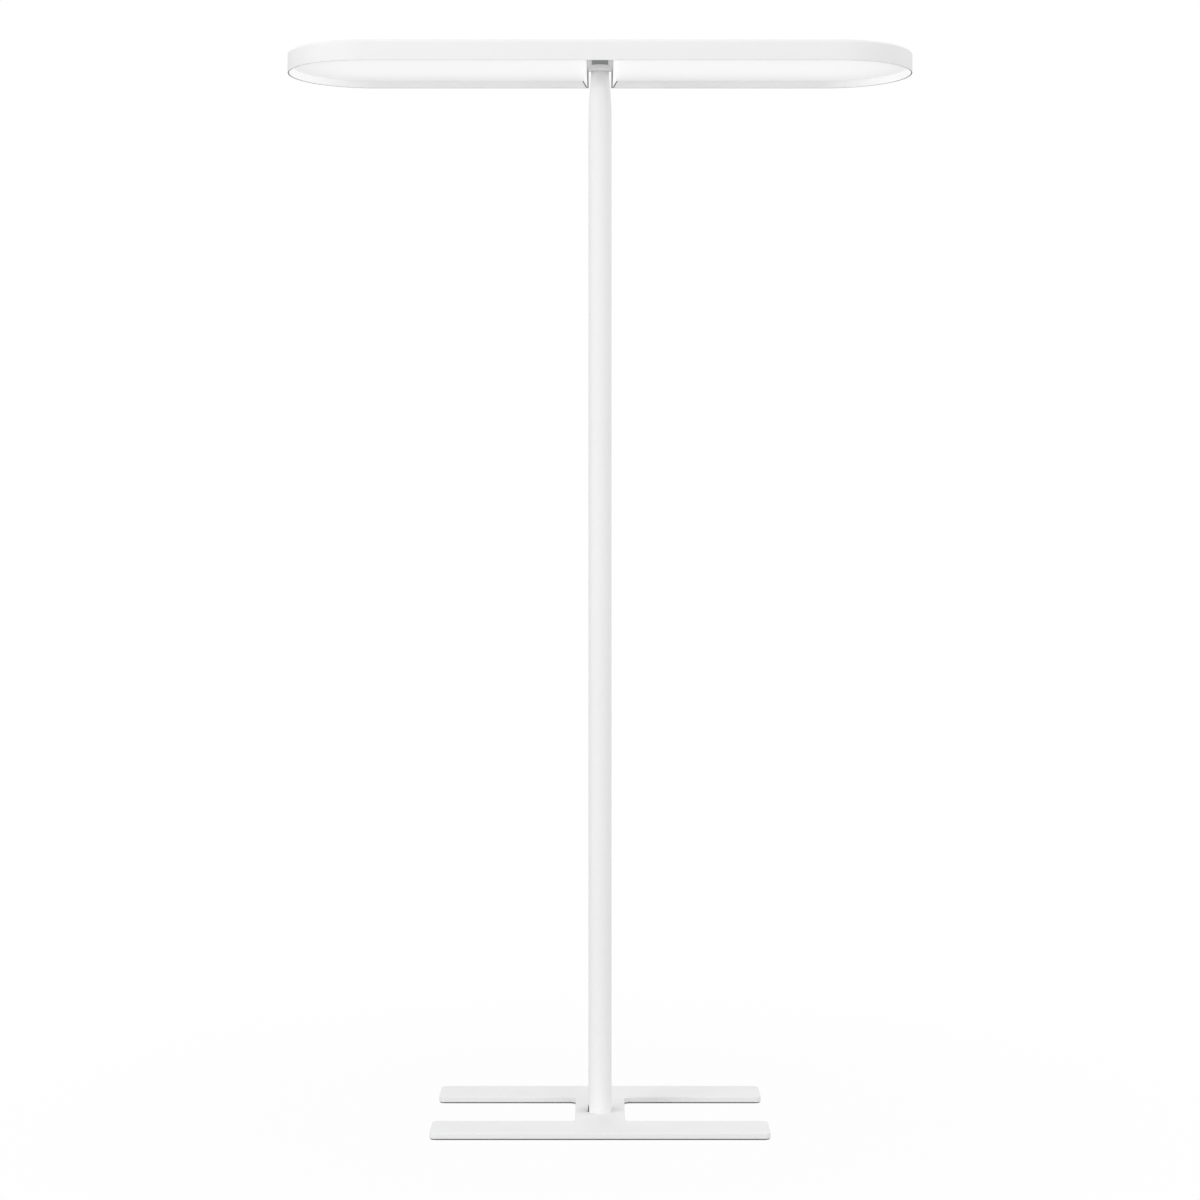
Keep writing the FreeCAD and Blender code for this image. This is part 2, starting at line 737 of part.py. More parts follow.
def frame_corners():
    """The head frame's outline, with the slot that opens to the back."""
    return [
        (-END_CENTRE, -HEAD_RADIUS), (END_CENTRE, -HEAD_RADIUS, END_CENTRE, ZERO, 1),
        (END_CENTRE, HEAD_RADIUS), (SLOT_HALF, HEAD_RADIUS),
        (SLOT_HALF, COLUMN_Y, ZERO, COLUMN_Y, -1), (-SLOT_HALF, COLUMN_Y),
        (-SLOT_HALF, HEAD_RADIUS), (-END_CENTRE, HEAD_RADIUS, -END_CENTRE, ZERO, 1)]


def side_bay_corners(side, rim_inset, start):
    """One light bay's outline: a straight side at the spine, and the head's own round end."""
    radius = HEAD_RADIUS - rim_inset
    if side > 0:
        return [(start, -radius), (END_CENTRE, -radius, END_CENTRE, ZERO, 1), (END_CENTRE, radius),
                (start, radius)]
    return [(-start, radius), (-END_CENTRE, radius, -END_CENTRE, ZERO, 1), (-END_CENTRE, -radius),
            (-start, -radius)]


def centre_bay_corners(half_width, front_inset, wall):
    """The small bay in front of the slot: its back follows the slot's round end."""
    radius = SLOT_HALF + wall
    back = COLUMN_Y - root(radius * radius - half_width * half_width)
    front = -(HEAD_RADIUS - front_inset)
    return [(-half_width, front), (half_width, front), (half_width, back, ZERO, COLUMN_Y, -1),
            (-half_width, back)]


def socket_screw_places():
    """Where the two screws hold the socket's flange down in its seat in the spine."""
    x = SLOT_HALF + size("spine_wall") / 2
    return [(x * side, COLUMN_Y) for side in (-1, 1)]


def cover_screw_places():
    """Where the two screws hold the top cover down on the spine."""
    x = SLOT_HALF + size("spine_wall") / 2
    return [(x * side, size("cover_screw_line")) for side in (-1, 1)]


def build_head_frame():
    """The frame: rim and spine with splayed reveals, the slot, and open bays for the light units."""
    body = new_body("head_frame")
    sketch = new_sketch(body)
    draw_outline(sketch, frame_corners())
    pad(body, sketch, size("frame_height"))
    bevel_edges(body, size("lip_edge_bevel"), lambda edge: at_level(edge, 0))
    lip = size("lip_width")
    run = size("reveal_run")
    above_ledge = size("frame_height") - size("reveal_rise")
    for side in (-1, 1):
        splayed_cut(body, side_bay_corners(side, lip, SLOT_HALF + lip),
                    side_bay_corners(side, lip + run, SLOT_HALF + lip + run), size("reveal_rise"))
        cavity = new_sketch(body, lift=size("reveal_rise"))
        draw_outline(cavity, side_bay_corners(side, size("rim_wall"), SPINE_HALF))
        pocket(body, cavity, above_ledge)
    run = run * size("bay_recess") / size("reveal_rise")
    splayed_cut(body, centre_bay_corners(SLOT_HALF, lip, lip),
                centre_bay_corners(SLOT_HALF - run, lip + run, lip + run), size("bay_recess"))
    cavity = new_sketch(body, lift=size("bay_recess"))
    draw_outline(cavity, centre_bay_corners(SLOT_HALF, size("rim_wall"), size("rim_wall")))
    pocket(body, cavity, size("frame_height") - size("bay_recess"))
    seat = new_sketch(body, lift=size("frame_height"))
    across = SPINE_HALF + size("cut_overrun")
    half = size("flange_depth") / 2
    draw_rectangle(seat, -across, across, COLUMN_Y - half, COLUMN_Y + half)
    pocket(body, seat, size("flange_thickness"), upwards=False)
    notch = new_sketch(body, lift=size("frame_height"))
    half = size("wire_notch_width") / 2
    draw_rectangle(notch, -across, across, wire_line() - half, wire_line() + half)
    pocket(body, notch, size("wire_notch_depth"), upwards=False)
    for places, series in ((socket_screw_places(), "socket_screw"), (cover_screw_places(), "cover_screw")):
        holes = new_sketch(body, lift=size("frame_height"))
        for x, y in places:
            draw_circle(holes, x, y, size(series + "_diameter") / 2 + size("fit_clearance"))
        pocket(body, holes, size("screw_hole_depth"), upwards=False)
    place(body, z=HEAD_BOTTOM)
    finish(body, "head_frame")


def wire_line():
    """The line across the spine along which the driver leads run."""
    return terminal_back() - size("terminal_block_length") / 2


# ---------------------------------------------------------------- socket between head and column
def build_column_socket():
    """The flange that bridges the slot, with a collar round the column's spigot and a shoulder on its end."""
    body = new_body("socket_casting")
    half = size("flange_depth") / 2
    sketch = new_sketch(body)
    draw_rectangle(sketch, -SPINE_HALF, SPINE_HALF, -half, half)
    pad(body, sketch, size("flange_thickness"))
    collar = new_sketch(body, lift=-size("collar_height"))
    draw_circle(collar, ZERO, ZERO, size("collar_radius"))
    pad(body, collar, size("collar_height"))
    bore = new_sketch(body, lift=-size("collar_height"))
    draw_circle(bore, ZERO, ZERO, size("neck_top_radius") + size("fit_clearance"))
    pocket(body, bore, size("collar_height"))
    mouth = new_sketch(body)
    reach = size("neck_top_radius") - size("neck_wall")
    front = -half - size("cut_overrun")
    draw_outline(mouth, [(-reach, ZERO, ZERO, ZERO, -1), (reach, ZERO), (reach, front), (-reach, front)])
    pocket(body, mouth, size("flange_thickness"))
    holes = new_sketch(body)
    for x, y in socket_screw_places():
        draw_circle(holes, x, y - COLUMN_Y, size("socket_screw_diameter") / 2 + size("screw_hole_clearance"))
    pocket(body, holes, size("flange_thickness"))
    place(body, y=COLUMN_Y, z=FLANGE_BOTTOM)
    tools = [grub_screw_bar("grub_hole_%d" % number, side, size("fit_clearance"), size("collar_radius"))
             for number, side in enumerate((-1, 1), start=1)]
    drilled = cut("column_socket_drilled", body, group("grub_holes", tools))
    finish(drilled, "column_socket")


def grub_screw_bar(name, side, clearance, length):
    """A bar on a grub screw's line, from the column's axis outwards to the back."""
    angle = size("grub_screw_spread").value * side
    turn = FreeCAD.Rotation(FreeCAD.Vector(0, 0, 1), angle) * FreeCAD.Rotation(FreeCAD.Vector(1, 0, 0), -90)
    level = FLANGE_BOTTOM - size("collar_height") / 2
    return rod(name, ZERO, COLUMN_Y, level, size("grub_screw_diameter") / 2 + clearance, length, turn)


def build_grub_screws():
    """Two grub screws in the collar's back that lock the head on the neck."""
    screws = []
    inner = size("neck_top_radius") + size("part_clearance")
    for number, side in enumerate((-1, 1), start=1):
        whole = grub_screw_bar("grub_bar_%d" % number, side, ZERO, size("collar_radius"))
        stub = grub_screw_bar("grub_stub_%d" % number, side, size("fit_clearance"), inner)
        screws.append(cut("grub_screw_%d" % number, whole, stub))
    finish(group("grub_screws", screws), "grub_screws")


def build_socket_screws():
    """Two hexagon screws through the flange into the spine."""
    level = FRAME_TOP + size("socket_screw_head_height")
    screws = [hexagon_screw("socket_screw_%d" % number, x, y, level, "socket_screw", False)
              for number, (x, y) in enumerate(socket_screw_places(), start=1)]
    finish(group("socket_screws", screws), "socket_screws")


# ---------------------------------------------------------------- top of the head
def build_top_cover():
    """The cover: a shallow lid with a bevelled edge and two long windows for the uplight."""
    body = new_body("top_cover")
    sketch = new_sketch(body)
    draw_outline(sketch, stadium_corners(ZERO))
    pad(body, sketch, size("cover_height"))
    bevel_edges(body, size("cover_edge_bevel"), lambda edge: at_level(edge, size("cover_height").value))
    recess = size("cover_height") - size("cover_skin")
    for side in (-1, 1):
        hollow = new_sketch(body)
        draw_outline(hollow, side_bay_corners(side, size("cover_border"), SPINE_HALF + size("rim_wall")))
        pocket(body, hollow, recess)
        window = new_sketch(body, lift=recess)
        draw_outline(window, side_bay_corners(side, size("window_border"), size("window_start")))
        pocket(body, window, size("cover_skin"))
    relief = new_sketch(body)
    half = SPINE_HALF + size("part_clearance")
    draw_rectangle(relief, -half, half, terminal_back() - size("terminal_block_length") - size("part_clearance"),
                   COLUMN_Y + size("flange_depth") / 2 - size("part_clearance"))
    pocket(body, relief, recess)
    screw_holes(body, cover_screw_places(), "cover_screw", size("cover_height"), size("cover_height"))
    place(body, z=FRAME_TOP)
    finish(body, "top_cover")


def build_cover_screws():
    """Two sunk hexagon screws through the top cover into the spine."""
    level = FRAME_TOP + size("cover_height")
    screws = [hexagon_screw("cover_screw_%d" % number, x, y, level, "cover_screw", False)
              for number, (x, y) in enumerate(cover_screw_places(), start=1)]
    finish(group("cover_screws", screws), "cover_screws")


# ---------------------------------------------------------------- light units, one on each side of the spine
def side_name(side):
    """The word for a side of the head, as seen from the front."""
    return "left" if side < 0 else "right"


def build_light_unit(side):
    """Diffuser, reflector tray, LED strips and uplight cover of one side."""
    name = side_name(side)
    gap = size("part_clearance")
    rim = size("rim_wall") + gap

    diffuser = new_body("diffuser_" + name)
    sketch = new_sketch(diffuser)
    draw_outline(sketch, side_bay_corners(side, rim, SPINE_HALF + gap))
    pad(diffuser, sketch, size("diffuser_thickness"))
    place(diffuser, z=LEDGE)
    finish(diffuser, "diffuser_" + name)

    tray = new_body("reflector_tray_" + name)
    tray_height = FRAME_TOP - TRAY_BOTTOM
    sheet_gauge = size("tray_sheet")
    sketch = new_sketch(tray)
    draw_outline(sketch, side_bay_corners(side, rim, SPINE_HALF + gap))
    pad(tray, sketch, tray_height)
    inner = side_bay_corners(side, rim + sheet_gauge, SPINE_HALF + gap + sheet_gauge)
    light_box = new_sketch(tray)
    draw_outline(light_box, inner)
    pocket(tray, light_box, size("tray_box_depth") - sheet_gauge)
    gear_space = new_sketch(tray, lift=size("tray_box_depth"))
    draw_outline(gear_space, inner)
    pocket(tray, gear_space, tray_height - size("tray_box_depth"))
    notch = new_sketch(tray, lift=tray_height)
    half = size("wire_notch_width") / 2
    x_low, x_high = SPINE_HALF, SPINE_HALF + gap + sheet_gauge + size("cut_overrun")
    if side < 0:
        x_low, x_high = -x_high, -x_low
    draw_rectangle(notch, x_low, x_high, wire_line() - half, wire_line() + half)
    pocket(tray, notch, size("wire_notch_depth"), upwards=False)
    place(tray, z=TRAY_BOTTOM)
    finish(tray, "reflector_tray_" + name)

    below = TRAY_FLOOR - sheet_gauge - size("led_strip_thickness")
    led_strips("downlight_strips_" + name, side, size("downlight_pitch"), below)
    led_strips("uplight_strips_" + name, side, size("uplight_pitch"), TRAY_FLOOR)

    cover = new_body("uplight_cover_" + name)
    overlap = size("uplight_cover_overlap")
    sketch = new_sketch(cover)
    draw_outline(sketch, side_bay_corners(side, size("window_border") - overlap, size("window_start") - overlap))
    pad(cover, sketch, size("uplight_cover_thickness"))
    place(cover, z=COVER_CEILING - size("uplight_cover_thickness"))
    finish(cover, "uplight_cover_" + name)


def led_strips(name, side, pitch, level):
    """Two LED strips side by side, each a long narrow board."""
    length = size("led_strip_length")
    start = size("led_strip_start")
    width = size("led_strip_width")
    x_low = start if side > 0 else -start - length
    strips = [box_piece("%s_%d" % (name, number), x_low, length, pitch / 2 * row - width / 2, width, level,
                        size("led_strip_thickness")) for number, row in enumerate((-1, 1), start=1)]
    finish(group(name, strips), name)


# ---------------------------------------------------------------- control gear
def build_drivers():
    """One slim LED driver on each tray, next to the spine."""
    for side in (-1, 1):
        width = size("driver_width")
        x_low = size("driver_start") if side > 0 else -size("driver_start") - width
        length = size("driver_length")
        driver = box_piece("driver_" + side_name(side), x_low, width, -length / 2, length, TRAY_FLOOR,
                           size("driver_thickness"))
        finish(driver, "driver_" + side_name(side))


def build_driver_leads():
    """The short flat leads from the terminal block through the spine's notch to both drivers."""
    width = size("driver_lead_width")
    thickness = size("driver_lead_thickness")
    inner = size("terminal_block_width") / 2
    length = size("driver_start") - inner
    level = FRAME_TOP - size("wire_notch_depth") / 2 - thickness / 2
    leads = [box_piece("driver_lead_" + side_name(side), inner if side > 0 else -size("driver_start"), length,
                       wire_line() - width / 2, width, level, thickness) for side in (-1, 1)]
    finish(group("driver_leads", leads), "driver_leads")


def build_control_board():
    """The board that reads button and sensor, beside the left driver."""
    x_low = -size("window_start") + size("uplight_cover_overlap")
    length = size("control_board_length")
    board = box_piece("control_board", x_low, size("control_board_width"), -length / 2, length, TRAY_FLOOR,
                      size("control_board_thickness"))
    finish(board, "control_board")


def build_terminal_block():
    """The block where the leads from the column meet the head's wiring."""
    width = size("terminal_block_width")
    length = size("terminal_block_length")
    height = COVER_CEILING - size("part_clearance") - WINDOW_TOP
    block = box_piece("terminal_block", -width / 2, width, terminal_back() - length, length, WINDOW_TOP, height)
    finish(block, "terminal_block")


def build_sensor():
    """The tinted window in the small bay, and the sensor module that looks through it."""
    body = new_body("sensor_window")
    gap = size("part_clearance")
    sketch = new_sketch(body)
    wall = size("rim_wall") + gap
    draw_outline(sketch, centre_bay_corners(SLOT_HALF - gap, wall, wall))
    pad(body, sketch, size("sensor_window_thickness"))
    place(body, z=BAY_CEILING)
    finish(body, "sensor_window")

    width = size("sensor_module_width")
    length = size("sensor_module_length")
    height = size("sensor_module_height")
    front = -HEAD_RADIUS + size("cover_border")
    standing = size("sensor_lens_height")
    pieces = [box_piece("sensor_case", -width / 2, width, front, length, WINDOW_TOP + standing, height)]
    pieces.append(rod("sensor_lens", ZERO, front + length / 2, WINDOW_TOP, size("sensor_lens_radius"), standing))
    post = size("sensor_post_width")
    for number, y in enumerate((front, front + length - post), start=1):
        pieces.append(box_piece("sensor_post_%d" % number, -post / 2, post, y, post, WINDOW_TOP, standing))
    finish(join("sensor_module", pieces), "sensor_module")


# ---------------------------------------------------------------- build, check and write
build_base_plate()
build_base_pads()
build_base_screws()
build_foot_plug()
build_column_tube()
build_cable_grommet()
build_mains_lead()
build_button_housing()
build_button_cap()
build_button_switch()
build_button_lead()
build_head_frame()
build_column_socket()
build_grub_screws()
build_socket_screws()
build_top_cover()
build_cover_screws()
build_light_unit(-1)
build_light_unit(1)
build_drivers()
build_driver_leads()
build_control_board()
build_terminal_block()
build_sensor()
doc.recompute()

for item in doc.Objects:
    if "Invalid" in item.State or "Error" in item.State:
        raise ValueError("%s did not build: %s" % (item.Name, item.State))
names = [part.Label for part in parts]
if len(set(names)) != len(names):
    raise ValueError("two sub-parts share a name")
for part in parts:
    if part.Shape.isNull() or not part.Shape.isValid():
        raise ValueError("%s has no valid shape" % part.Label)

os.makedirs("parts", exist_ok=True)
for part in parts:
    part.Shape.exportStep("parts/%s.step" % part.Label)
    print("%-26s %3d solids %12.1f mm3" % (part.Label, len(part.Shape.Solids), part.Shape.Volume))
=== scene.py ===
import logging
import math
from dataclasses import dataclass
from enum import Enum
from functools import partialmethod
from typing import Any, Iterable, Sequence

import bmesh
import bpy
import numpy as np
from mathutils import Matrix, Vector
from mathutils.geometry import tessellate_polygon


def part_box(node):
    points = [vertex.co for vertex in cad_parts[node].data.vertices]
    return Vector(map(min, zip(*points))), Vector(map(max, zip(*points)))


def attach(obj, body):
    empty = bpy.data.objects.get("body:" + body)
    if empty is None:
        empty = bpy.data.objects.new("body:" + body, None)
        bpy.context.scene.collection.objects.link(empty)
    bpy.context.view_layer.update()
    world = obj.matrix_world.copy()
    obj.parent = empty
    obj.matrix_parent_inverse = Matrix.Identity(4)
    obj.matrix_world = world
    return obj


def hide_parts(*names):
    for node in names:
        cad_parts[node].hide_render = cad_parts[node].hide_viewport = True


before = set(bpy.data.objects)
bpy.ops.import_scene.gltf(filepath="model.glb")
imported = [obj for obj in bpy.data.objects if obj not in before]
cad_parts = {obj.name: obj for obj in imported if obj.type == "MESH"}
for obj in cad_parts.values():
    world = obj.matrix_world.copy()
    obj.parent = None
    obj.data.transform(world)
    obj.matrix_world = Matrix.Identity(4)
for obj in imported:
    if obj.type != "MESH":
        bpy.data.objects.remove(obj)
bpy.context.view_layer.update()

LOG = logging.getLogger("office_floor_lamp")
MM = 0.001
LAMP_BODY = "lamp"
ARC_STEPS = 64
MERGE_DISTANCE = 1e-6
SHARP_ANGLE = math.radians(28)
COLUMN_Y = -19 * MM
Colour = tuple[float, float, float]
Sockets = dict[str, Any]
Material = bpy.types.Material
Piece = bpy.types.Object
EVEN = (1.0, 1.0, 1.0)
WHITE = (1.0, 1.0, 1.0)
BLACK = (0.0, 0.0, 0.0)


def linked(name: str, data: Any) -> Piece:
    """A new object in the scene.

    Args:
        name: The object's name.
        data: Its mesh, light or camera.

    Returns:
        The object.
    """
    made = bpy.data.objects.new(name, data)
    bpy.context.scene.collection.objects.link(made)
    return made


class Side(Enum):
    """A half of the head, as seen from the front."""

    LEFT = -1
    RIGHT = 1

    @property
    def word(self) -> str:
        """The word that node names use for this side."""
        return self.name.lower()


def dim(colour: Colour, share: float) -> Colour:
    """A colour with each of its parts times a share."""
    return tuple(part * share for part in colour)


# ---------------- shader maths
class Shade:
    """One socket of a node tree, with arithmetic that adds Math nodes."""

    def __init__(self, recipe: "Recipe", socket: bpy.types.NodeSocket) -> None:
        """Wraps an output socket of a recipe's tree."""
        self.recipe = recipe
        self.socket = socket

    def math(self, operation: str, *others: Any, first: bool = True, clamp: bool = False) -> "Shade":
        """Adds a Math node with this shade as its first input, or else its last, and may clip it to 0..1."""
        inputs = (self, *others) if first else (*others, self)
        return self.recipe.node("Math", dict(enumerate(inputs)), operation=operation, use_clamp=clamp)

    # Arithmetic with numbers and other shades, each as one Math node.
    __add__ = __radd__ = partialmethod(math, "ADD")
    __sub__ = partialmethod(math, "SUBTRACT")
    __rsub__ = partialmethod(math, "SUBTRACT", first=False)
    __mul__ = __rmul__ = partialmethod(math, "MULTIPLY")
    __truediv__ = partialmethod(math, "DIVIDE")
    __pow__ = partialmethod(math, "POWER")
    __abs__ = partialmethod(math, "ABSOLUTE")
    least = partialmethod(math, "MINIMUM")
    above = partialmethod(math, "GREATER_THAN")

    def below(self, level: float) -> "Shade":
        """0 where this shade is above a level, and 1 elsewhere."""
        return 1 - self.above(level)

    def band(self, low: float, high: float) -> "Shade":
        """(shade - low) / (high - low), clipped to 0..1."""
        return ((self - low) / (high - low)).math("ADD", 0.0, clamp=True)


class Recipe:
    """Builds the node tree of one material or world."""

    def __init__(self, owner: Material | bpy.types.World) -> None:
        """Starts with an empty tree.

        Args:
            owner: The new material or world.
        """
        owner.use_nodes = True
        self.owner = owner
        self.tree = owner.node_tree
        self.tree.nodes.clear()

    def node(self, kind: str, sockets: dict[Any, Any] | None = None, output: Any = 0,
             **settings: Any) -> Shade | None:
        """Adds a node of any type.

        Args:
            kind: The node's type name, without the ShaderNode before it.
            sockets: Numbers, colours or shades by input name or index.
            output: The name or index of the output to return.
            settings: Properties that are set before the sockets.

        Returns:
            The chosen output, or nothing from a node that has none.
        """
        made = self.tree.nodes.new("ShaderNode" + kind)
        for key, value in settings.items():
            setattr(made, key, value)
        for key, value in (sockets or {}).items():
            socket = made.inputs[key]
            if isinstance(value, Shade):
                self.tree.links.new(value.socket, socket)
            else:
                socket.default_value = (*value, 1.0) if socket.type == "RGBA" else value
        return Shade(self, made.outputs[output]) if made.outputs else None

    def place(self) -> Shade:
        """The point's place on the object, in metres."""
        return self.node("TexCoord", output="Object")

    def axis(self, letter: str) -> Shade:
        """One coordinate of the point's place."""
        return self.node("SeparateXYZ", {0: self.place()}, letter)

    def facing(self, letter: str) -> Shade:
        """One part of the direction that the surface faces."""
        normal = self.node("NewGeometry", output="Normal")
        return self.node("SeparateXYZ", {0: normal}, letter)

    def mix(self, factor: Any, low: Any, high: Any) -> Shade:
        """Mixes two colours or shades, from low at 0 to high at 1."""
        return self.node("Mix", {0: factor, 6: low, 7: high}, 2, data_type="RGBA")

    def bump(self, height: Shade, depth: float, strength: float = 1.0) -> Shade:
        """A normal from a height from 0 to 1, its real depth, and how much of it shows."""
        return self.node("Bump", {"Strength": strength, "Distance": depth, "Height": height})

    def show(self, shader: Shade, owner: str = "Material") -> None:
        """Links a shader to the output of a Material or World."""
        self.node("Output" + owner, {"Surface": shader})


# ---------------- finishes
@dataclass(frozen=True)
class Grain:
    """Soft noise: the size of a lump, how many finer layers it has, and its scale along each axis."""

    size: float
    detail: float = 3.0
    stretch: tuple[float, float, float] = EVEN

    def on(self, recipe: Recipe) -> Shade:
        """The noise on an object's own coordinates, as a number round 0.5.

        Args:
            recipe: The tree that gets the noise.

        Returns:
            The noise.
        """
        placed = recipe.node("Mapping", {"Vector": recipe.place(), "Scale": self.stretch})
        sockets = {"Vector": placed, "Scale": 1 / self.size, "Detail": self.detail}
        return recipe.node("TexNoise", sockets, "Fac")


@dataclass(frozen=True)
class Patches(Grain):
    """Noise that is clipped to patches between two of its levels and weighed by a share."""

    clip: tuple[float, float] = (0.0, 1.0)
    share: float = 1.0

    def on(self, recipe: Recipe) -> Shade:
        """The patches, from 0 to the share."""
        return super().on(recipe).band(*self.clip) * self.share


@dataclass(frozen=True)
class Finish:
    """A surface finish. Each kind says what the Principled shader's sockets get."""

    name: str

    def layers(self, recipe: Recipe) -> Sockets:
        """What the shader's sockets get.

        Args:
            recipe: The material's node tree.

        Returns:
            Numbers, colours and shades by socket name.
        """
        raise NotImplementedError

    def build(self) -> Material:
        """Makes the material."""
        recipe = Recipe(bpy.data.materials.new(self.name))
        recipe.show(recipe.node("BsdfPrincipled", self.layers(recipe)))
        return recipe.owner


@dataclass(frozen=True)
class PowderCoat(Finish):
    """White powder coat: fine orange peel, faint tone drift, and a little dust on faces that look up.

    With a foot radius, painted shade lies on the coat behind the column's foot, darkest at the foot.
    """

    colour: Colour = (0.865, 0.865, 0.865)
    dust: Colour = (0.78, 0.77, 0.75)
    roughness: float = 0.64
    shine: float = 0.25
    peel: Grain = Grain(2.2 * MM, 2.0)
    grain: Grain = Grain(0.6 * MM, 1.0)
    drift: Patches = Patches(350 * MM, 4.0, clip=(0.3, 0.7), share=0.5)
    drift_tone: float = 0.975
    specks: Patches = Patches(4 * MM, 6.0, clip=(0.66, 0.80), share=0.10)
    settled: Patches = Patches(60 * MM, 5.0, clip=(0.45, 0.9), share=0.25)
    settles_from: float = 0.6
    peel_share: float = 0.7
    relief: float = 0.06 * MM
    foot_radius: float = 0.0
    foot_ring: float = 40 * MM
    foot_stretch: tuple[float, float] = (-16 * MM, 16 * MM)
    # The colour of the painted shade behind the foot.
    painted_foot_shade_colour: Colour = (0.60, 0.60, 0.61)
    level_up: float = 0.9

    def painted_foot_shade(self, recipe: Recipe) -> Shade:
        """How deep the painted shade behind the foot is.

        It is (1 - (distance - radius) / ring)^2 round the foot, and fades out towards the front.

        Args:
            recipe: The coat's node tree.

        Returns:
            A share from 0 to 1.
        """
        across, along = recipe.axis("X"), recipe.axis("Y") - COLUMN_Y
        distance = (across * across + along * along) ** 0.5
        ring = 1 - distance.band(self.foot_radius, self.foot_radius + self.foot_ring)
        return ring ** 2.0 * along.band(*self.foot_stretch)

    def layers(self, recipe: Recipe) -> Sockets:
        """The coat's tone, roughness and relief by socket name."""
        peel = self.peel.on(recipe)
        grain = self.grain.on(recipe)
        up = recipe.facing("Z")
        settled = up.band(self.settles_from, 1.0) * self.settled.on(recipe)
        tone = recipe.mix(self.drift.on(recipe), self.colour, dim(self.colour, self.drift_tone))
        tone = recipe.mix(settled + self.specks.on(recipe), tone, self.dust)
        if self.foot_radius:
            # Painted shade behind the column's foot, mixed into the base colour where the coat faces up.
            tone = recipe.mix(self.painted_foot_shade(recipe) * up.above(self.level_up), tone, self.painted_foot_shade_colour)
        rough = peel * 0.10 + grain * 0.08 + settled * 0.3 + (self.roughness - 0.09)
        height = peel * self.peel_share + grain * (1 - self.peel_share)
        return {"Base Color": tone, "Roughness": rough, "Specular IOR Level": self.shine,
                "Normal": recipe.bump(height, self.relief, 0.6)}


@dataclass(frozen=True)
class HeadCoat(PowderCoat):
    """The head's coat. Its reveals and rounded top edge glow with painted light; its lands and mitres get
    painted shade.

    The painted light is strongest on reveals that face along the head. A mitre is where |x| + y has one
    value.
    """

    bottom: float = 0.0
    top: float = 0.0
    land: float = 0.0
    rise: float = 0.0
    spine: float = 0.0
    mitre: float = 0.0
    mitre_half: float = 2.2 * MM
    skin: float = 0.1 * MM
    reveal_up: tuple[float, float] = (-0.8, -0.3)
    land_up: float = -0.95
    edge_up: tuple[float, float] = (0.1, 0.7)
    land_painted_shade_fade: float = 100 * MM
    # Colour and strength of the painted light on the reveals and the rounded top edge.
    glow: Colour = (1.0, 0.998, 0.99)
    glow_strength: float = 0.34
    painted_light_least: float = 0.30
    bay_painted_light: float = 0.20
    edge_painted_highlight: float = 0.32
    # The colour of the painted shade on the lands and the mitres.
    shade: Colour = (0.19, 0.19, 0.195)

    def layers(self, recipe: Recipe) -> Sockets:
        """The coat's sockets with the painted shade and the painted light."""
        sockets = super().layers(recipe)
        along, up = abs(recipe.facing("X")), recipe.facing("Z")
        side, depth, height = abs(recipe.axis("X")), recipe.axis("Y"), recipe.axis("Z")
        aslant = up.above(self.reveal_up[0]) * up.below(self.reveal_up[1])
        reveal = aslant * height.above(self.bottom + self.land) * height.below(self.bottom + self.rise)
        # Painted shade along the mitres, where two reveals meet.
        mitre = abs(side + depth - self.mitre).below(self.mitre_half)
        # Painted shade on the lands, darkest at the back and fading out towards the front.
        underside = up.below(self.land_up) * height.below(self.bottom + self.skin)
        land = underside * depth.band(-self.land_painted_shade_fade, 0.0)
        painted_shade_share = (reveal * mitre + land).least(1.0)
        outer = side.above(self.spine)
        share = (along + self.painted_light_least).least(1.0)
        # Painted highlight on the cover's rounded top edge, given as emission.
        edge = up.band(*self.edge_up) * height.below(self.top) * self.edge_painted_highlight
        # Painted light on the reveals plus the painted highlight on the top edge, given as emission.
        lit = reveal * (outer * (1 - mitre) * share + (1 - outer) * self.bay_painted_light) + edge
        return sockets | {"Base Color": recipe.mix(painted_shade_share, sockets["Base Color"], self.shade),
                          "Emission Color": recipe.mix(lit, BLACK, self.glow),
                          "Emission Strength": self.glow_strength}


@dataclass(frozen=True)
class OpalAcrylic(Finish):
    """Opal diffuser: satin sheet with a fine stipple, lit from inside and dimmer towards the head's rim."""

    reach: float
    radius: float
    colour: Colour = (0.88, 0.88, 0.88)
    glow: Colour = (1.0, 0.998, 0.99)
    rim_share: float = 0.58
    fade: float = 40 * MM
    glow_strength: float = 0.33
    stipple: float = 1.2 * MM

    def rim_distance(self, recipe: Recipe) -> Shade:
        """How far a point lies inside the stadium: radius - sqrt(max(|x| - reach, 0)^2 + y^2).

        Args:
            recipe: The sheet's tree.

        Returns:
            The distance in metres.
        """
        along = (abs(recipe.axis("X")) - self.reach).math("MAXIMUM", 0.0)
        across = recipe.axis("Y")
        return self.radius - (along * along + across * across) ** 0.5

    def layers(self, recipe: Recipe) -> Sockets:
        """The sheet's sockets. The glow rises from the rim as 1 - e^(-distance / fade)."""
        stipple = recipe.node("TexVoronoi", {"Vector": recipe.place(), "Scale": 1 / self.stipple}, "Distance",
                              feature="F1")
        rise = 1 - (self.rim_distance(recipe) / -self.fade).math("EXPONENT")
        return {"Base Color": self.colour, "Roughness": stipple * 0.12 + 0.34,
                "Emission Color": recipe.mix(rise, dim(self.glow, self.rim_share), self.glow),
                "Emission Strength": self.glow_strength, "Normal": recipe.bump(stipple, 0.04 * MM, 0.4)}


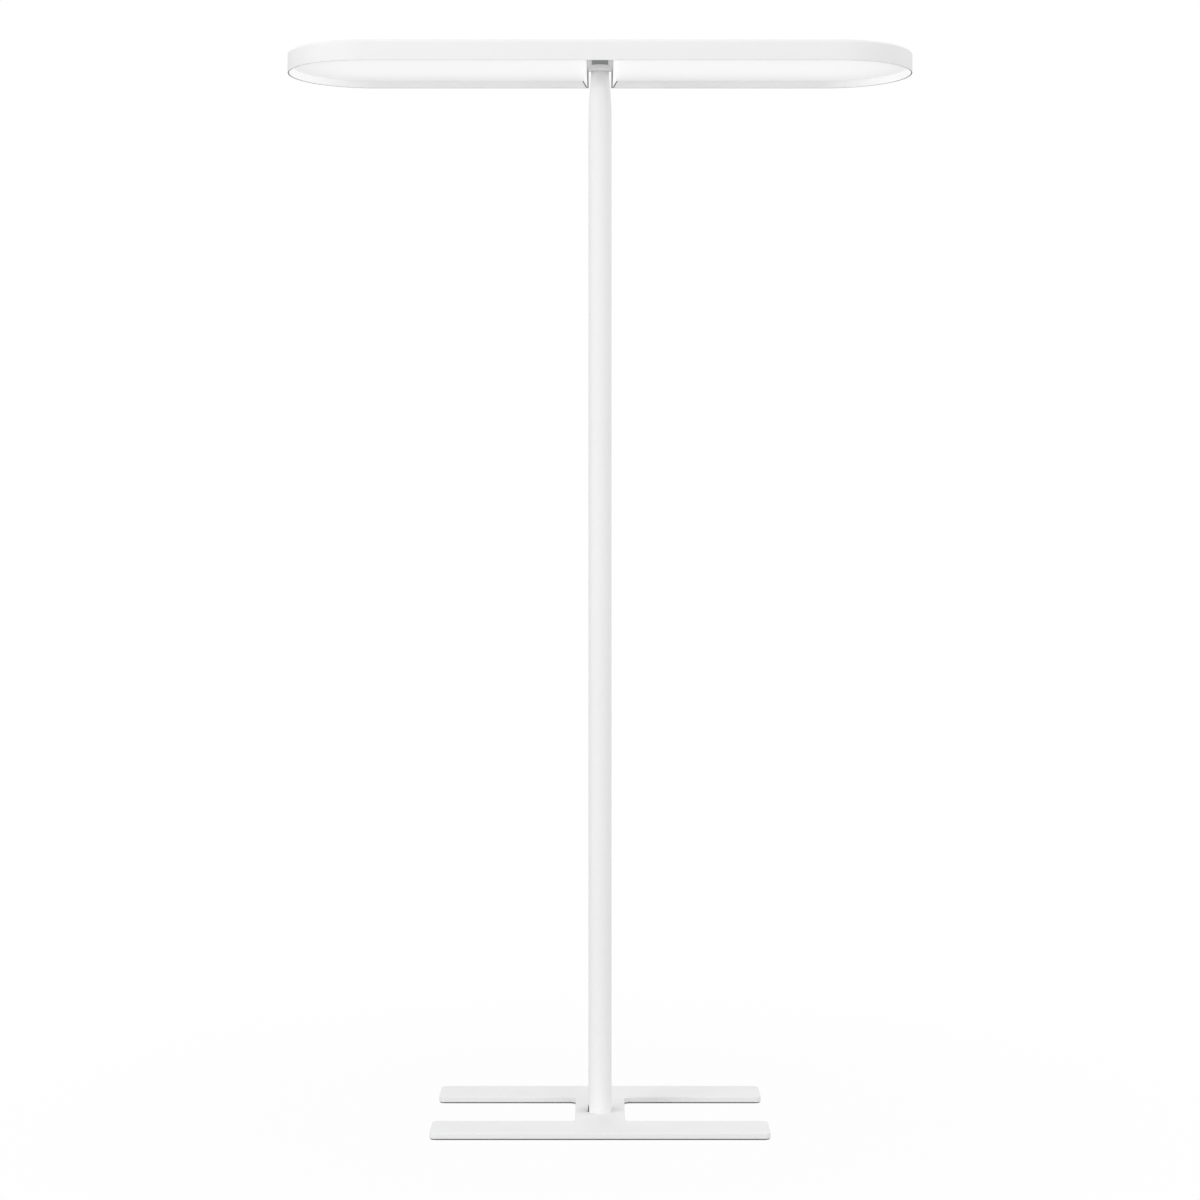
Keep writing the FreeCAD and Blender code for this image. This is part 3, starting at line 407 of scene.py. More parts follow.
@dataclass(frozen=True)
class PressedFelt(Finish):
    """Grey pressed felt with short tangled fibres."""

    colour: Colour = (0.10, 0.10, 0.102)

    def layers(self, recipe: Recipe) -> Sockets:
        """The felt's sockets."""
        fibres, crossing = [Grain(0.6 * MM, 8.0, stretch).on(recipe) for stretch in ((1, 4, 1), (4, 1, 1))]
        height = fibres * crossing * 2.0
        tone = recipe.mix(height.band(0.3, 0.6), dim(self.colour, 0.6), self.colour)
        tone = recipe.mix(height.band(0.6, 0.8), tone, dim(self.colour, 1.8))
        return {"Base Color": tone, "Roughness": 0.92, "Sheen Weight": 0.2,
                "Normal": recipe.bump(height, 0.4 * MM, 0.8)}


@dataclass(frozen=True)
class LedStrip(Finish):
    """White solder mask with a row of square yellow LEDs along each board, and copper traces under it."""

    rows: float
    pitch: float = 22 * MM
    led: float = 3 * MM
    trace_scale: float = 90.0
    trace_bend: float = 0.4
    mask: Colour = (0.82, 0.83, 0.80)
    trace: Colour = (0.66, 0.68, 0.64)
    phosphor: Colour = (0.82, 0.62, 0.18)

    def layers(self, recipe: Recipe) -> Sockets:
        """The board's sockets."""
        across = abs(recipe.axis("Y")) - self.rows / 2
        along = (abs(recipe.axis("X")) / self.pitch).math("FRACT") - 0.5
        leds = abs(across).below(self.led / 2) * abs(along).below(self.led / 2 / self.pitch)
        sockets = {"Vector": recipe.place(), "Scale": self.trace_scale, "Distortion": self.trace_bend}
        lines = recipe.node("TexWave", sockets, "Fac", bands_direction="Y")
        board = recipe.mix(lines.band(0.80, 0.90) * 0.8, self.mask, self.trace)
        return {"Base Color": recipe.mix(leds, board, self.phosphor), "Roughness": leds * -0.15 + 0.45,
                "Normal": recipe.bump(leds, 0.5 * MM, 0.6)}


@dataclass(frozen=True)
class CircuitBoard(Finish):
    """Green solder mask with tracks and bright pads."""

    pad_scale: float = 260.0
    track_scale: float = 120.0
    track_bend: float = 3.0
    mask: Colour = (0.03, 0.16, 0.07)
    track: Colour = (0.05, 0.26, 0.11)
    pad: Colour = (0.72, 0.70, 0.62)

    def layers(self, recipe: Recipe) -> Sockets:
        """The board's sockets."""
        cells = recipe.node("TexVoronoi", {"Vector": recipe.place(), "Scale": self.pad_scale}, "Distance",
                            feature="F1", distance="MANHATTAN")
        sockets = {"Vector": recipe.place(), "Scale": self.track_scale, "Distortion": self.track_bend}
        waves = recipe.node("TexWave", sockets, "Fac", bands_direction="DIAGONAL")
        pads = 1 - cells.band(0.16, 0.20)
        tracks = waves.band(0.6, 0.7)
        tone = recipe.mix(pads, recipe.mix(tracks, self.mask, self.track), self.pad)
        return {"Base Color": tone, "Roughness": 0.4 - pads * 0.1,
                "Normal": recipe.bump(tracks, 0.04 * MM, 0.5)}


@dataclass(frozen=True)
class Grained(Finish):
    """A plain surface whose tone changes in patches, with a grain in its roughness and its relief."""

    colour: Colour
    second: Colour
    patches: Grain
    grain: Grain
    roughness: float
    depth: float
    relief: float = 0.5
    share: float = 0.5
    clip: tuple[float, float] = (0.0, 1.0)
    grain_rough: float = 0.15
    patch_rough: float = 0.0
    metallic: float = 0.0
    coat: float = 0.0
    shine: float = 0.5
    clear: float = 0.0
    bending: float = 1.5

    def layers(self, recipe: Recipe) -> Sockets:
        """The surface's sockets."""
        patches = self.patches.on(recipe).band(*self.clip)
        grain = self.grain.on(recipe)
        rough = grain * self.grain_rough + patches * self.patch_rough + self.roughness
        return {"Base Color": recipe.mix(patches * self.share, self.colour, self.second), "Roughness": rough,
                "Metallic": self.metallic, "Coat Weight": self.coat, "Specular IOR Level": self.shine,
                "Transmission Weight": self.clear, "IOR": self.bending,
                "Normal": recipe.bump(grain, self.depth, self.relief)}


def worked_metal(name: str, colour: Colour, stain: Colour, roughness: float = 0.22,
                 marks: Grain = Grain(0.4 * MM, 4.0, (1.0, 1.0, 0.1))) -> Material:
    """Bare metal with tool marks round its axis, and dull stains."""
    return Grained(name, colour, stain, Grain(8 * MM, 5.0), marks, roughness, 0.03 * MM, share=0.7,
                   clip=(0.5, 0.8), grain_rough=0.2, patch_rough=0.15, metallic=1.0).build()


def moulded_plastic(name: str, colour: Colour, roughness: float) -> Material:
    """Moulded plastic with flow marks and a fine spark-eroded grain."""
    flow = Grain(20 * MM, stretch=(1, 1, 4))
    return Grained(name, colour, dim(colour, 0.94), flow, Grain(0.5 * MM), roughness, 0.05 * MM,
                   share=0.4, clip=(0.35, 0.65), grain_rough=0.14).build()


def clear_acrylic() -> Material:
    """Clear sheet with a faint moulding ripple and a little dust."""
    return Grained("clear_acrylic", (0.965, 0.975, 0.975), (0.85, 0.85, 0.84), Grain(1.5 * MM, 6.0),
                   Grain(30 * MM, 2.0), 0.06, 0.08 * MM, relief=0.3, share=0.3, clip=(0.55, 0.85),
                   grain_rough=0.0, patch_rough=0.2, clear=1.0, bending=1.49).build()


def smoked_acrylic(colour: Colour = (0.29, 0.293, 0.30)) -> Material:
    """Grey tinted window with a satin face, so that the sensor behind it doesn't show."""
    return Grained("smoked_acrylic", colour, dim(colour, 0.85), Grain(20 * MM), Grain(0.8 * MM, 2.0), 0.42,
                   0.02 * MM, relief=0.4, share=0.3, grain_rough=0.08, shine=0.2).build()


def rubber(colour: Colour = (0.030, 0.030, 0.031), bloom: Colour = (0.075, 0.075, 0.078)) -> Material:
    """Matt rubber with bloom in patches."""
    return Grained("grommet_rubber", colour, bloom, Grain(5 * MM, 4.0), Grain(0.4 * MM, 4.0), 0.62, 0.06 * MM,
                   relief=0.6, share=0.6, clip=(0.45, 0.75), grain_rough=0.2).build()


def reflector_paint(colour: Colour = (0.90, 0.90, 0.895)) -> Material:
    """Bright reflector paint with a soft gloss and roller-drawn streaks."""
    streaks = Grain(2 * MM, stretch=(0.05, 1, 1))
    return Grained("reflector_paint", colour, dim(colour, 0.96), streaks, streaks, 0.25, 0.03 * MM,
                   relief=0.3, share=0.4, grain_rough=0.1, coat=0.2).build()


def lead_jacket(colour: Colour = (0.74, 0.74, 0.73)) -> Material:
    """A flat lead's satin jacket with a faint waviness."""
    wave = Grain(4 * MM, stretch=(1, 1, 0.4))
    return Grained("lead_jacket", colour, dim(colour, 0.9), wave, wave, 0.4, 0.1 * MM, relief=0.4).build()


# ---------------- surfaces
def arc(centre: tuple[float, float], radius: float, first: float, last: float,
        steps: int = ARC_STEPS) -> np.ndarray:
    """Points in plan, centre + radius * (cos a, sin a), with steps even stretches of a in degrees."""
    turn = np.radians(np.linspace(first, last, steps + 1))
    return np.column_stack((centre[0] + radius * np.cos(turn), centre[1] + radius * np.sin(turn)))


def quarter_round(radius: float, steps: int = 8,
                  height: float | None = None) -> tuple[np.ndarray, np.ndarray]:
    """How far a rounded edge comes in, and how far it is from the face, along a quarter circle or ellipse.

    Inset is radius * (1 - cos a) and drop is height * (1 - sin a), with a from 0 to 90 degrees. The height is
    the radius where none is given.
    """
    turn = np.linspace(0.0, math.pi / 2, steps + 1)
    return radius * (1 - np.cos(turn)), (height or radius) * (1 - np.sin(turn))


class Shell:
    """Collects grids and flat faces that together close one solid."""

    def __init__(self) -> None:
        """Starts with nothing."""
        self.points: list[np.ndarray] = []
        self.faces: list[np.ndarray] = []
        self.count = 0

    def _take(self, points: np.ndarray, faces: np.ndarray) -> None:
        """Adds points and the faces that use them, numbered from 0.

        Args:
            points: An array of (count, 3).
            faces: An array of (count, 4).
        """
        self.points.append(points)
        self.faces.append(faces + self.count)
        self.count += len(points)

    def carry(self, outlines: Sequence[np.ndarray], levels: Iterable[float], closed: bool = False) -> "Shell":
        """Joins equal outlines at different levels by a grid of quads.

        Point (i, j) of the grid is outline i's point j at level i, and j runs round without end.

        Args:
            outlines: Closed outlines in plan with the same number of points.
            levels: The height of each.
            closed: Whether the last outline joins the first again.

        Returns:
            This shell.
        """
        rows = [np.column_stack((outline, np.full(len(outline), level)))
                for outline, level in zip(outlines, levels)]
        return self.grid(np.stack(rows), closed)

    def grid(self, grid: np.ndarray, closed: bool = False) -> "Shell":
        """Adds a grid of points (rows, columns, 3) whose columns run round.

        Args:
            grid: The points.
            closed: Whether the last row joins the first again.

        Returns:
            This shell.
        """
        rows, columns = grid.shape[:2]
        row = np.arange(rows if closed else rows - 1)[:, None]
        column = np.arange(columns)[None, :]
        here = row * columns + column
        beside = row * columns + (column + 1) % columns
        above = ((row + 1) % rows) * columns
        faces = np.stack((here, beside, above + (column + 1) % columns, above + column), axis=-1)
        self._take(grid.reshape(-1, 3), faces.reshape(-1, 4))
        return self

    def flat(self, outlines: Sequence[np.ndarray], level: float) -> "Shell":
        """Fills the plane between an outer outline and the holes in it.

        Args:
            outlines: The outer outline first, then the holes.
            level: The plane's height.

        Returns:
            This shell.
        """
        loops = [[Vector((x, y, 0.0)) for x, y in outline.tolist()] for outline in outlines]
        triangles = np.array(tessellate_polygon(loops), dtype=int)
        flat = np.concatenate(outlines)
        points = np.column_stack((flat, np.full(len(flat), level)))
        self._take(points, np.column_stack((triangles, triangles[:, 2])))
        return self

    def solid(self, outlines: Sequence[np.ndarray], levels: Sequence[float]) -> "Shell":
        """Carries equal outlines from level to level, and closes the first and the last flat."""
        self.carry(outlines, levels)
        return self.flat([outlines[0]], levels[0]).flat([outlines[-1]], levels[-1])

    def turned(self, centre: Sequence[float], rings: Sequence[tuple[float, float]],
               steps: int = 40) -> "Shell":
        """Adds a solid turned round an upright axis: each ring is the unit circle times its radius.

        Args:
            centre: The axis's starting point.
            rings: Pairs of height over the centre and radius; the ends are closed flat.
            steps: The number of stretches round the axis.

        Returns:
            This shell.
        """
        circle = arc((0.0, 0.0), 1.0, 0.0, 360.0, steps)[:-1]
        outlines = [circle * radius + np.array(centre[:2]) for _, radius in rings]
        levels = [centre[2] + height for height, _ in rings]
        return self.solid(outlines, levels)

    def build(self, name: str, cutters: Sequence[Piece] = ()) -> Piece:
        """Makes the object, cuts tools out of it and smooths all but its sharp edges.

        Args:
            name: The piece's name.
            cutters: Closed tools that are taken out of it and then deleted.

        Returns:
            The object, at the origin.
        """
        points = np.concatenate(self.points)
        faces = [tuple(dict.fromkeys(face)) for group in self.faces for face in group.tolist()]
        mesh = bpy.data.meshes.new(name)
        mesh.from_pydata(points.tolist(), [], faces)
        tidy_mesh(mesh)
        piece = linked(name, mesh)
        for cutter in cutters:
            carve(piece, cutter)
        smooth_mesh(piece.data)
        return piece


def tidy_mesh(mesh: bpy.types.Mesh) -> None:
    """Merges the points that lie on each other and turns all faces outwards.

    Args:
        mesh: The mesh, which is changed.
    """
    work = bmesh.new()
    work.from_mesh(mesh)
    bmesh.ops.remove_doubles(work, verts=work.verts, dist=MERGE_DISTANCE)
    bmesh.ops.dissolve_degenerate(work, edges=work.edges, dist=MERGE_DISTANCE)
    bmesh.ops.recalc_face_normals(work, faces=work.faces)
    work.to_mesh(mesh)
    work.free()


def smooth_mesh(mesh: bpy.types.Mesh) -> None:
    """Shades a mesh smoothly except across edges that turn by more than the sharp angle.

    Args:
        mesh: The mesh, which is changed.
    """
    work = bmesh.new()
    work.from_mesh(mesh)
    for edge in work.edges:
        edge.smooth = edge.calc_face_angle(math.pi) < SHARP_ANGLE
    for face in work.faces:
        face.smooth = True
    work.to_mesh(mesh)
    work.free()


def carve(piece: Piece, cutter: Piece) -> None:
    """Takes a closed tool out of a piece and deletes the tool.

    Args:
        piece: The piece.
        cutter: The closed tool.
    """
    modifier = piece.modifiers.new("carve", "BOOLEAN")
    modifier.operation = "DIFFERENCE"
    modifier.solver = "EXACT"
    modifier.object = cutter
    shown = piece.evaluated_get(bpy.context.evaluated_depsgraph_get())
    mesh = bpy.data.meshes.new_from_object(shown)
    piece.modifiers.clear()
    old = piece.data
    piece.data = mesh
    bpy.data.meshes.remove(old)
    bpy.data.objects.remove(cutter)
    mesh.name = piece.name


def round_piece(name: str, centre: Sequence[float], rings: Sequence[tuple[float, float]],
                axis: str = "z") -> Piece:
    """A turned piece or tool: rings of (distance along the axis, radius) round a centre.

    Args:
        name: The piece's name.
        centre: The axis's starting point.
        rings: The rings in order; the ends are closed flat.
        axis: "z" or "y", the axis that it is turned round.

    Returns:
        The piece.
    """
    order = {"z": (0, 1, 2), "y": (0, 2, 1)}[axis]
    shell = Shell().turned((0.0, 0.0, 0.0), rings)
    shell.points = [points[:, order] + np.array(centre) for points in shell.points]
    return shell.build(name)


def prism(name: str, outline: np.ndarray, low: float, high: float) -> Piece:
    """An upright tool with one outline between two heights."""
    return Shell().solid([outline, outline], (low, high)).build(name)


def block(name: str, low: Sequence[float], high: Sequence[float]) -> Piece:
    """A square tool between two corners."""
    outline = np.array([(low[0], low[1]), (high[0], low[1]), (high[0], high[1]), (low[0], high[1])])
    return prism(name, outline, low[2], high[2])


def dress(piece: Piece, material: Material) -> None:
    """Gives a whole piece one material."""
    piece.data.materials.clear()
    piece.data.materials.append(material)


def dress_node(name: str, material: Material) -> None:
    """Gives a carried-over node a material in its own slots.

    Args:
        name: The node's name.
        material: Its finish.
    """
    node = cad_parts[name]
    if not node.material_slots:
        node.data.materials.append(material)
    for place in node.material_slots:
        place.material = material
    LOG.info("node %s: %s", name, material.name)


def settle(piece: Piece, material: Material, body: str, slot: str, *nodes: str) -> None:
    """Gives a new piece its finish and makes it ride on a body in place of CAD nodes.

    Args:
        piece: The new piece.
        material: Its finish.
        body: The body that it rides on.
        slot: The record's material slot; not used.
        nodes: The nodes that it stands for.
    """
    dress(piece, material)
    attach(piece, body)
    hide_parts(*nodes)
    LOG.info("piece %s: %d faces", piece.name, len(piece.data.polygons))


# ---------------- sub-assemblies
@dataclass
class FloorPlate:
    """The H-shaped plate with its two stepped screw holes."""

    bar_depth: float = 90 * MM
    web_width: float = 90 * MM
    corner: float = 10 * MM
    edge: float = 1.2 * MM
    hole: float = 3.2 * MM
    seat: float = 5.95 * MM
    seat_depth: float = 4.0 * MM
    screw_distance: float = 11 * MM
    corner_steps: int = 12

    def outline(self, inset: float) -> np.ndarray:
        """The plate's plan, moved inwards: twelve corners, each a quarter circle that follows the inset.

        Args:
            inset: How far the outline moves inwards.

        Returns:
            The points, anticlockwise.
        """
        wide, deep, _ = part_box("base_plate")[1]
        inner = deep - self.bar_depth
        web = self.web_width / 2
        right = ((wide, -deep, -90), (wide, -inner, 0), (web, -inner, -90),
                 (web, inner, 180), (wide, inner, -90), (wide, deep, 0))
        corners = [(x, y, first, abs(x) < wide) for x, y, first in right]
        corners += [(-x, -y, first + 180, inside) for x, y, first, inside in corners]
        pieces = []
        for x, y, first, inside in corners:
            # Way and lift are 1 where the arc's centre lies farther out than the corner, along x and along y.
            way = 1 if inside else -1
            lift = 1 if not inside and abs(y) < inner + MM else -1
            centre = (x + way * math.copysign(self.corner, x), y + lift * math.copysign(self.corner, y))
            pieces.append(arc(centre, self.corner + way * inset, first, first - 90 * way, self.corner_steps))
        return np.concatenate(pieces)

    def build(self, coat: Material) -> None:
        """Makes the plate with rounded edges and stepped screw holes.

        Args:
            coat: The white powder coat.
        """
        low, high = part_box("base_plate")
        insets, drops = quarter_round(self.edge)
        rings = [self.outline(inset) for inset in insets]
        shell = Shell().solid(rings[::-1] + rings, [*(low.z + drops)[::-1], *(high.z - drops)])
        steps = ((-MM, self.seat), (self.seat_depth, self.seat),
                 (self.seat_depth, self.hole), (high.z - low.z + MM, self.hole))
        cutters = [round_piece("plate_hole", (0.0, COLUMN_Y + self.screw_distance * side, low.z), steps)
                   for side in (-1, 1)]
        plate = shell.build("floor_plate", cutters)
        settle(plate, coat, LAMP_BODY, "white_powder_coat", "base_plate")


@dataclass
class Column:
    """The round column with its tapered neck, the cable outlet and the button's hole."""

    wall: float = 2 * MM
    neck_drop: float = 64 * MM
    neck_top_radius: float = 15.2 * MM
    spigot: float = 12 * MM
    blend: float = 150 * MM
    outlet_half: float = 6 * MM
    outlet_top: float = 18 * MM
    button_height: float = 1150 * MM
    button_hole: float = 7.65 * MM
    around: int = 96
    arch_steps: int = 24
    rows: int = 40
    blend_steps: int = 8
    slit: float = 1e-7

    def profile(self, underside: float) -> tuple[np.ndarray, np.ndarray]:
        """The neck's outer radii and heights: straight, then a wide arc, an even taper and a straight spigot.

        Args:
            underside: The height of the head's underside.

        Returns:
            The radii and the heights, from the foot upwards.
        """
        low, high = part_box("column_tube")
        radius = high.x
        shoulder = underside - self.neck_drop
        neck_end = high.z - self.spigot
        slope = (radius - self.neck_top_radius) / (neck_end - shoulder)
        lean = math.atan(slope)
        reach = self.blend * math.tan(lean / 2)
        turn = np.linspace(0.0, lean, self.blend_steps + 1)
        radii = radius - self.blend * (1 - np.cos(turn))
        heights = shoulder - reach + self.blend * np.sin(turn)
        straight = np.linspace(low.z + self.outlet_top, heights[0], self.rows)[:-1]
        return (np.concatenate((np.full(len(straight), radius), radii, [self.neck_top_radius] * 2)),
                np.concatenate((straight, heights, [neck_end, high.z])))

    def foot_edge(self, turn: np.ndarray, radius: float) -> np.ndarray:
        """The lower edge's height over the plate: nothing, but half + sqrt(half^2 - across^2) at the outlet.

        Args:
            turn: The angle of each column of points.
            radius: The surface's radius.

        Returns:
            The heights.
        """
        across = np.abs(radius * np.sin(turn))
        arch = self.outlet_half + np.sqrt(np.clip(self.outlet_half ** 2 - across ** 2, 0.0, None))
        return np.where((np.cos(turn) < 0) & (across < self.outlet_half), arch, 0.0)

    def surface(self, turn: np.ndarray, radii: np.ndarray, heights: np.ndarray, foot: np.ndarray,
                foot_level: float) -> np.ndarray:
        """A surface of revolution: (r cos a, axis + r sin a, z), whose first row follows the foot's edge.

        Args:
            turn: The angle a of each column of points.
            radii: The radius r of each row.
            heights: The height z of each row.
            foot: The foot's edge over the plate, by column.
            foot_level: The plate's upper face.

        Returns:
            A grid of (rows + 1, columns, 3).
        """
        spread = np.concatenate((radii[:1], radii))[:, None]
        levels = np.concatenate(([foot_level + foot], heights[:, None] + np.zeros(len(turn))))
        return np.stack((spread * np.cos(turn), COLUMN_Y + spread * np.sin(turn), levels), axis=-1)

    def build(self, coat: Material) -> None:
        """Makes the tube: outer and inner surfaces joined at the foot and at the top.

        Args:
            coat: The white powder coat.
        """
        foot_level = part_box("column_tube")[0].z
        radii, heights = self.profile(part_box("head_frame")[0].z)
        side = math.asin(self.outlet_half / radii[0])
        turn = np.linspace(-math.pi + side, math.pi - side, self.around)
        arch = np.linspace(math.pi - side, math.pi + side, self.arch_steps + 1)
        turn = np.concatenate((turn, arch[:1] + self.slit, arch[1:-1], arch[-1:] - self.slit))
        foot = self.foot_edge(turn, radii[0])
        # At each side of the outlet one column of points ends at the plate, and the next at the arch.
        foot[[0, self.around - 1]] = 0.0
        foot[self.around] = foot[-1] = self.outlet_half
        outer = self.surface(turn, radii, heights, foot, foot_level)
        inner = self.surface(turn, radii - self.wall, heights, foot, foot_level)
        shell = Shell().grid(np.concatenate((outer, inner[::-1])), closed=True)
        hole = round_piece("button_hole", (0.0, COLUMN_Y, self.button_height),
                           ((0.0, self.button_hole), (radii[0] + MM, self.button_hole)), "y")
        tube = shell.build("column", [hole])
        settle(tube, coat, LAMP_BODY, "white_powder_coat", "column_tube")


@dataclass
class HeadShell:
    """The head's frame and cover: one outline in plan, with splayed bays below and windows on top."""

    slot_half: float = 21 * MM
    spine_half: float = 27.5 * MM
    rim_wall: float = 3 * MM
    lip: float = 2.5 * MM
    run: float = 7.5 * MM
    rise: float = 12 * MM
    bay_recess: float = 10 * MM
    lip_edge: float = 0.8 * MM
    cover_edge: float = 9 * MM
    cover_edge_height: float = 5.5 * MM
    cover_skin: float = 2.5 * MM
    cover_border: float = 8 * MM
    window_border: float = 24 * MM
    window_start: float = 110 * MM
    flange_half: float = 30 * MM
    flange_thickness: float = 4 * MM
    wire_notch: tuple[float, float, float] = (-68.5 * MM, -60.5 * MM, 6 * MM)
    relief_half: float = 27.9 * MM
    relief_front: float = -76.4 * MM
    cover_screw_line: float = 60 * MM
    screw_seat: tuple[float, float] = (2.95 * MM, 1.6 * MM)
    tapped_hole: tuple[float, float] = (1.55 * MM, 14 * MM)
    clear_hole: float = 1.7 * MM
    relief_gap: float = 0.4 * MM
    lip_steps: int = 4
    cover_steps: int = 12

    def __post_init__(self) -> None:
        """Reads the outline from the frame."""
        low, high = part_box("head_frame")
        self.radius = high.y
        self.reach = high.x - high.y
        self.bottom = low.z
        self.top = high.z

    def ends(self, inset: float) -> tuple[np.ndarray, np.ndarray]:
        """The half circles at the outline's right and left end, moved inwards."""
        radius = self.radius - inset
        return arc((self.reach, 0.0), radius, -90, 90), arc((-self.reach, 0.0), radius, 90, 270)

    def stadium(self, inset: float) -> np.ndarray:
        """Two half circles joined by straights, moved inwards."""
        return np.concatenate(self.ends(inset))

    def slotted(self, inset: float) -> np.ndarray:
        """The stadium with its slot, open to the back. The slot's end is a half circle round the column.

        Args:
            inset: How far the outline moves inwards.

        Returns:
            The points, anticlockwise.
        """
        half = self.slot_half + inset
        mouth = np.array([(half, self.radius - inset)])
        right, left = self.ends(inset)
        return np.concatenate((right, mouth, arc((0.0, COLUMN_Y), half, 0, -180), mouth * (-1, 1), left))

    def bays(self, inset: float, start: float) -> list[np.ndarray]:
        """Both light bays: a straight side next to the spine and the head's own round end.

        Args:
            inset: The way in from the head's outline.
            start: The straight side's |x|.

        Returns:
            The outlines on the left and right.
        """
        radius = self.radius - inset
        outline = np.concatenate(([(start, -radius)], self.ends(inset)[0], [(start, radius)]))
        return [outline * (side.value, 1) for side in Side]

    def centre_bay(self, half: float, front_inset: float, wall: float) -> np.ndarray:
        """The small bay before the slot: its back is an arc round the column.

        Args:
            half: Half the width of its front.
            front_inset: The way in from the head's front.
            wall: The wall round the slot's end.

        Returns:
            The points, anticlockwise.
        """
        radius = self.slot_half + wall
        front = -(self.radius - front_inset)
        lean = math.degrees(math.acos(half / radius))
        back = arc((0.0, COLUMN_Y), radius, -lean, lean - 180)
        return np.concatenate(([(-half, front), (half, front)], back))

    def screw_pair(self, line: float) -> list[tuple[float, float]]:
        """Where two screws stand on the spine, at one place along y."""
        across = (self.slot_half + self.spine_half) / 2
        return [(-across, line), (across, line)]

    def build_frame(self, coat: Material) -> None:
        """Makes the frame from its outer skin, its lands, its splayed reveals and its open bays.

        Args:
            coat: The head's powder coat.
        """
        insets, drops = quarter_round(self.lip_edge, self.lip_steps)
        shell = Shell()
        shell.carry([self.slotted(0.0)] + [self.slotted(inset) for inset in insets],
                    [self.top] + list(self.bottom + drops))
        cavities = self.bays(self.rim_wall, self.spine_half)
        openings = self.bays(self.lip, self.slot_half + self.lip)
        ledges = self.bays(self.lip + self.run, self.slot_half + self.lip + self.run)
        for opening, ledge, cavity in zip(openings, ledges, cavities):
            shell.carry([opening, ledge, cavity, cavity],
                        [self.bottom, self.bottom + self.rise, self.bottom + self.rise, self.top])
        run = self.run * self.bay_recess / self.rise
        mouth = self.centre_bay(self.slot_half, self.lip, self.lip)
        shelf = self.centre_bay(self.slot_half - run, self.lip + run, self.lip + run)
        pocket = self.centre_bay(self.slot_half, self.rim_wall, self.rim_wall)
        recess = self.bottom + self.bay_recess
        shell.carry([mouth, shelf, pocket, pocket], [self.bottom, recess, recess, self.top])
        shell.flat([self.slotted(self.lip_edge), *openings, mouth], self.bottom)
        shell.flat([self.slotted(0.0), *cavities, pocket], self.top)
        beyond = self.spine_half + MM
        flange = (COLUMN_Y - self.flange_half, COLUMN_Y + self.flange_half)
        front, back, depth = self.wire_notch
        cutters = [
            block("flange_seat", (-beyond, flange[0], self.top - self.flange_thickness),
                  (beyond, flange[1], self.top + MM)),
            block("wire_notch", (-beyond, front, self.top - depth), (beyond, back, self.top + MM))]
        hole, deep = self.tapped_hole
        cutters += [round_piece("screw_hole", (x, y, self.top - deep), ((0.0, hole), (deep + MM, hole)))
                    for x, y in self.screw_pair(COLUMN_Y) + self.screw_pair(self.cover_screw_line)]
        piece = shell.build("head_frame_shell", cutters)
        settle(piece, coat, LAMP_BODY, "white_head_coat", "head_frame")

    def build_cover(self, coat: Material) -> None:
        """Makes the cover: rounded outer edge, hollows below and two windows.

        Args:
            coat: The head's powder coat.
        """
        low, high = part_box("top_cover")
        ceiling = high.z - self.cover_skin
        insets, drops = quarter_round(self.cover_edge, self.cover_steps, self.cover_edge_height)
        shell = Shell()
        shell.carry([self.stadium(0.0)] + [self.stadium(inset) for inset in insets],
                    [low.z] + list(high.z - drops))
        hollows = self.bays(self.cover_border, self.spine_half + self.rim_wall)
        windows = self.bays(self.window_border, self.window_start)
        for hollow, window in zip(hollows, windows):
            shell.carry([hollow, hollow], [low.z, ceiling])
            shell.flat([hollow, window], ceiling)
            shell.carry([window, window], [ceiling, high.z])
        shell.flat([self.stadium(0.0), *hollows], low.z)
        shell.flat([self.stadium(self.cover_edge), *windows], high.z)
        back = COLUMN_Y + self.flange_half - self.relief_gap
        cutters = [block("relief", (-self.relief_half, self.relief_front, low.z - MM),
                         (self.relief_half, back, ceiling))]
        seat_radius, seat_depth = self.screw_seat
        height = high.z - low.z
        seat = height - seat_depth
        steps = ((-MM, self.clear_hole), (seat, self.clear_hole),
                 (seat, seat_radius), (height + MM, seat_radius))
        cutters += [round_piece("cover_screw_hole", (x, y, low.z), steps)
                    for x, y in self.screw_pair(self.cover_screw_line)]
        piece = shell.build("head_cover_shell", cutters)
        settle(piece, coat, LAMP_BODY, "white_head_coat", "top_cover")


@dataclass
class CoverScrews:
    """The cover's screws: shank with a tapered tip, flat head with a soft rim, and six-sided socket."""

    head: HeadShell
    tip: float = 1.2 * MM
    tip_length: float = 0.4 * MM
    shank: float = 1.5 * MM
    cap: float = 2.7 * MM
    cap_height: float = 1.6 * MM
    soft: float = 0.1 * MM
    socket: float = 1.35 * MM
    socket_depth: float = 1.2 * MM

    def build(self, metal: Material) -> None:
        """Makes the screws as one piece.

        Args:
            metal: Zinc-plated steel.
        """
        low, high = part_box("cover_screws")
        length = high.z - low.z
        seat = length - self.cap_height
        rings = ((0.0, self.tip), (self.tip_length, self.shank), (seat, self.shank),
                 (seat, self.cap - self.soft), (seat + self.soft, self.cap),
                 (length - 4 * self.soft, self.cap), (length - self.soft, self.cap - 2 * self.soft),
                 (length, self.cap - 5 * self.soft))
        shell = Shell()
        cutters = []
        for x, y in self.head.screw_pair(self.head.cover_screw_line):
            shell.turned((x, y, low.z), rings)
            six_sided = arc((x, y), self.socket, 0.0, 360.0, 6)[:-1]
            cutters.append(prism("socket", six_sided, high.z - self.socket_depth, high.z + MM))
        piece = shell.build("cover_screw_pair", cutters)
        settle(piece, metal, LAMP_BODY, "zinc_steel", "cover_screws")


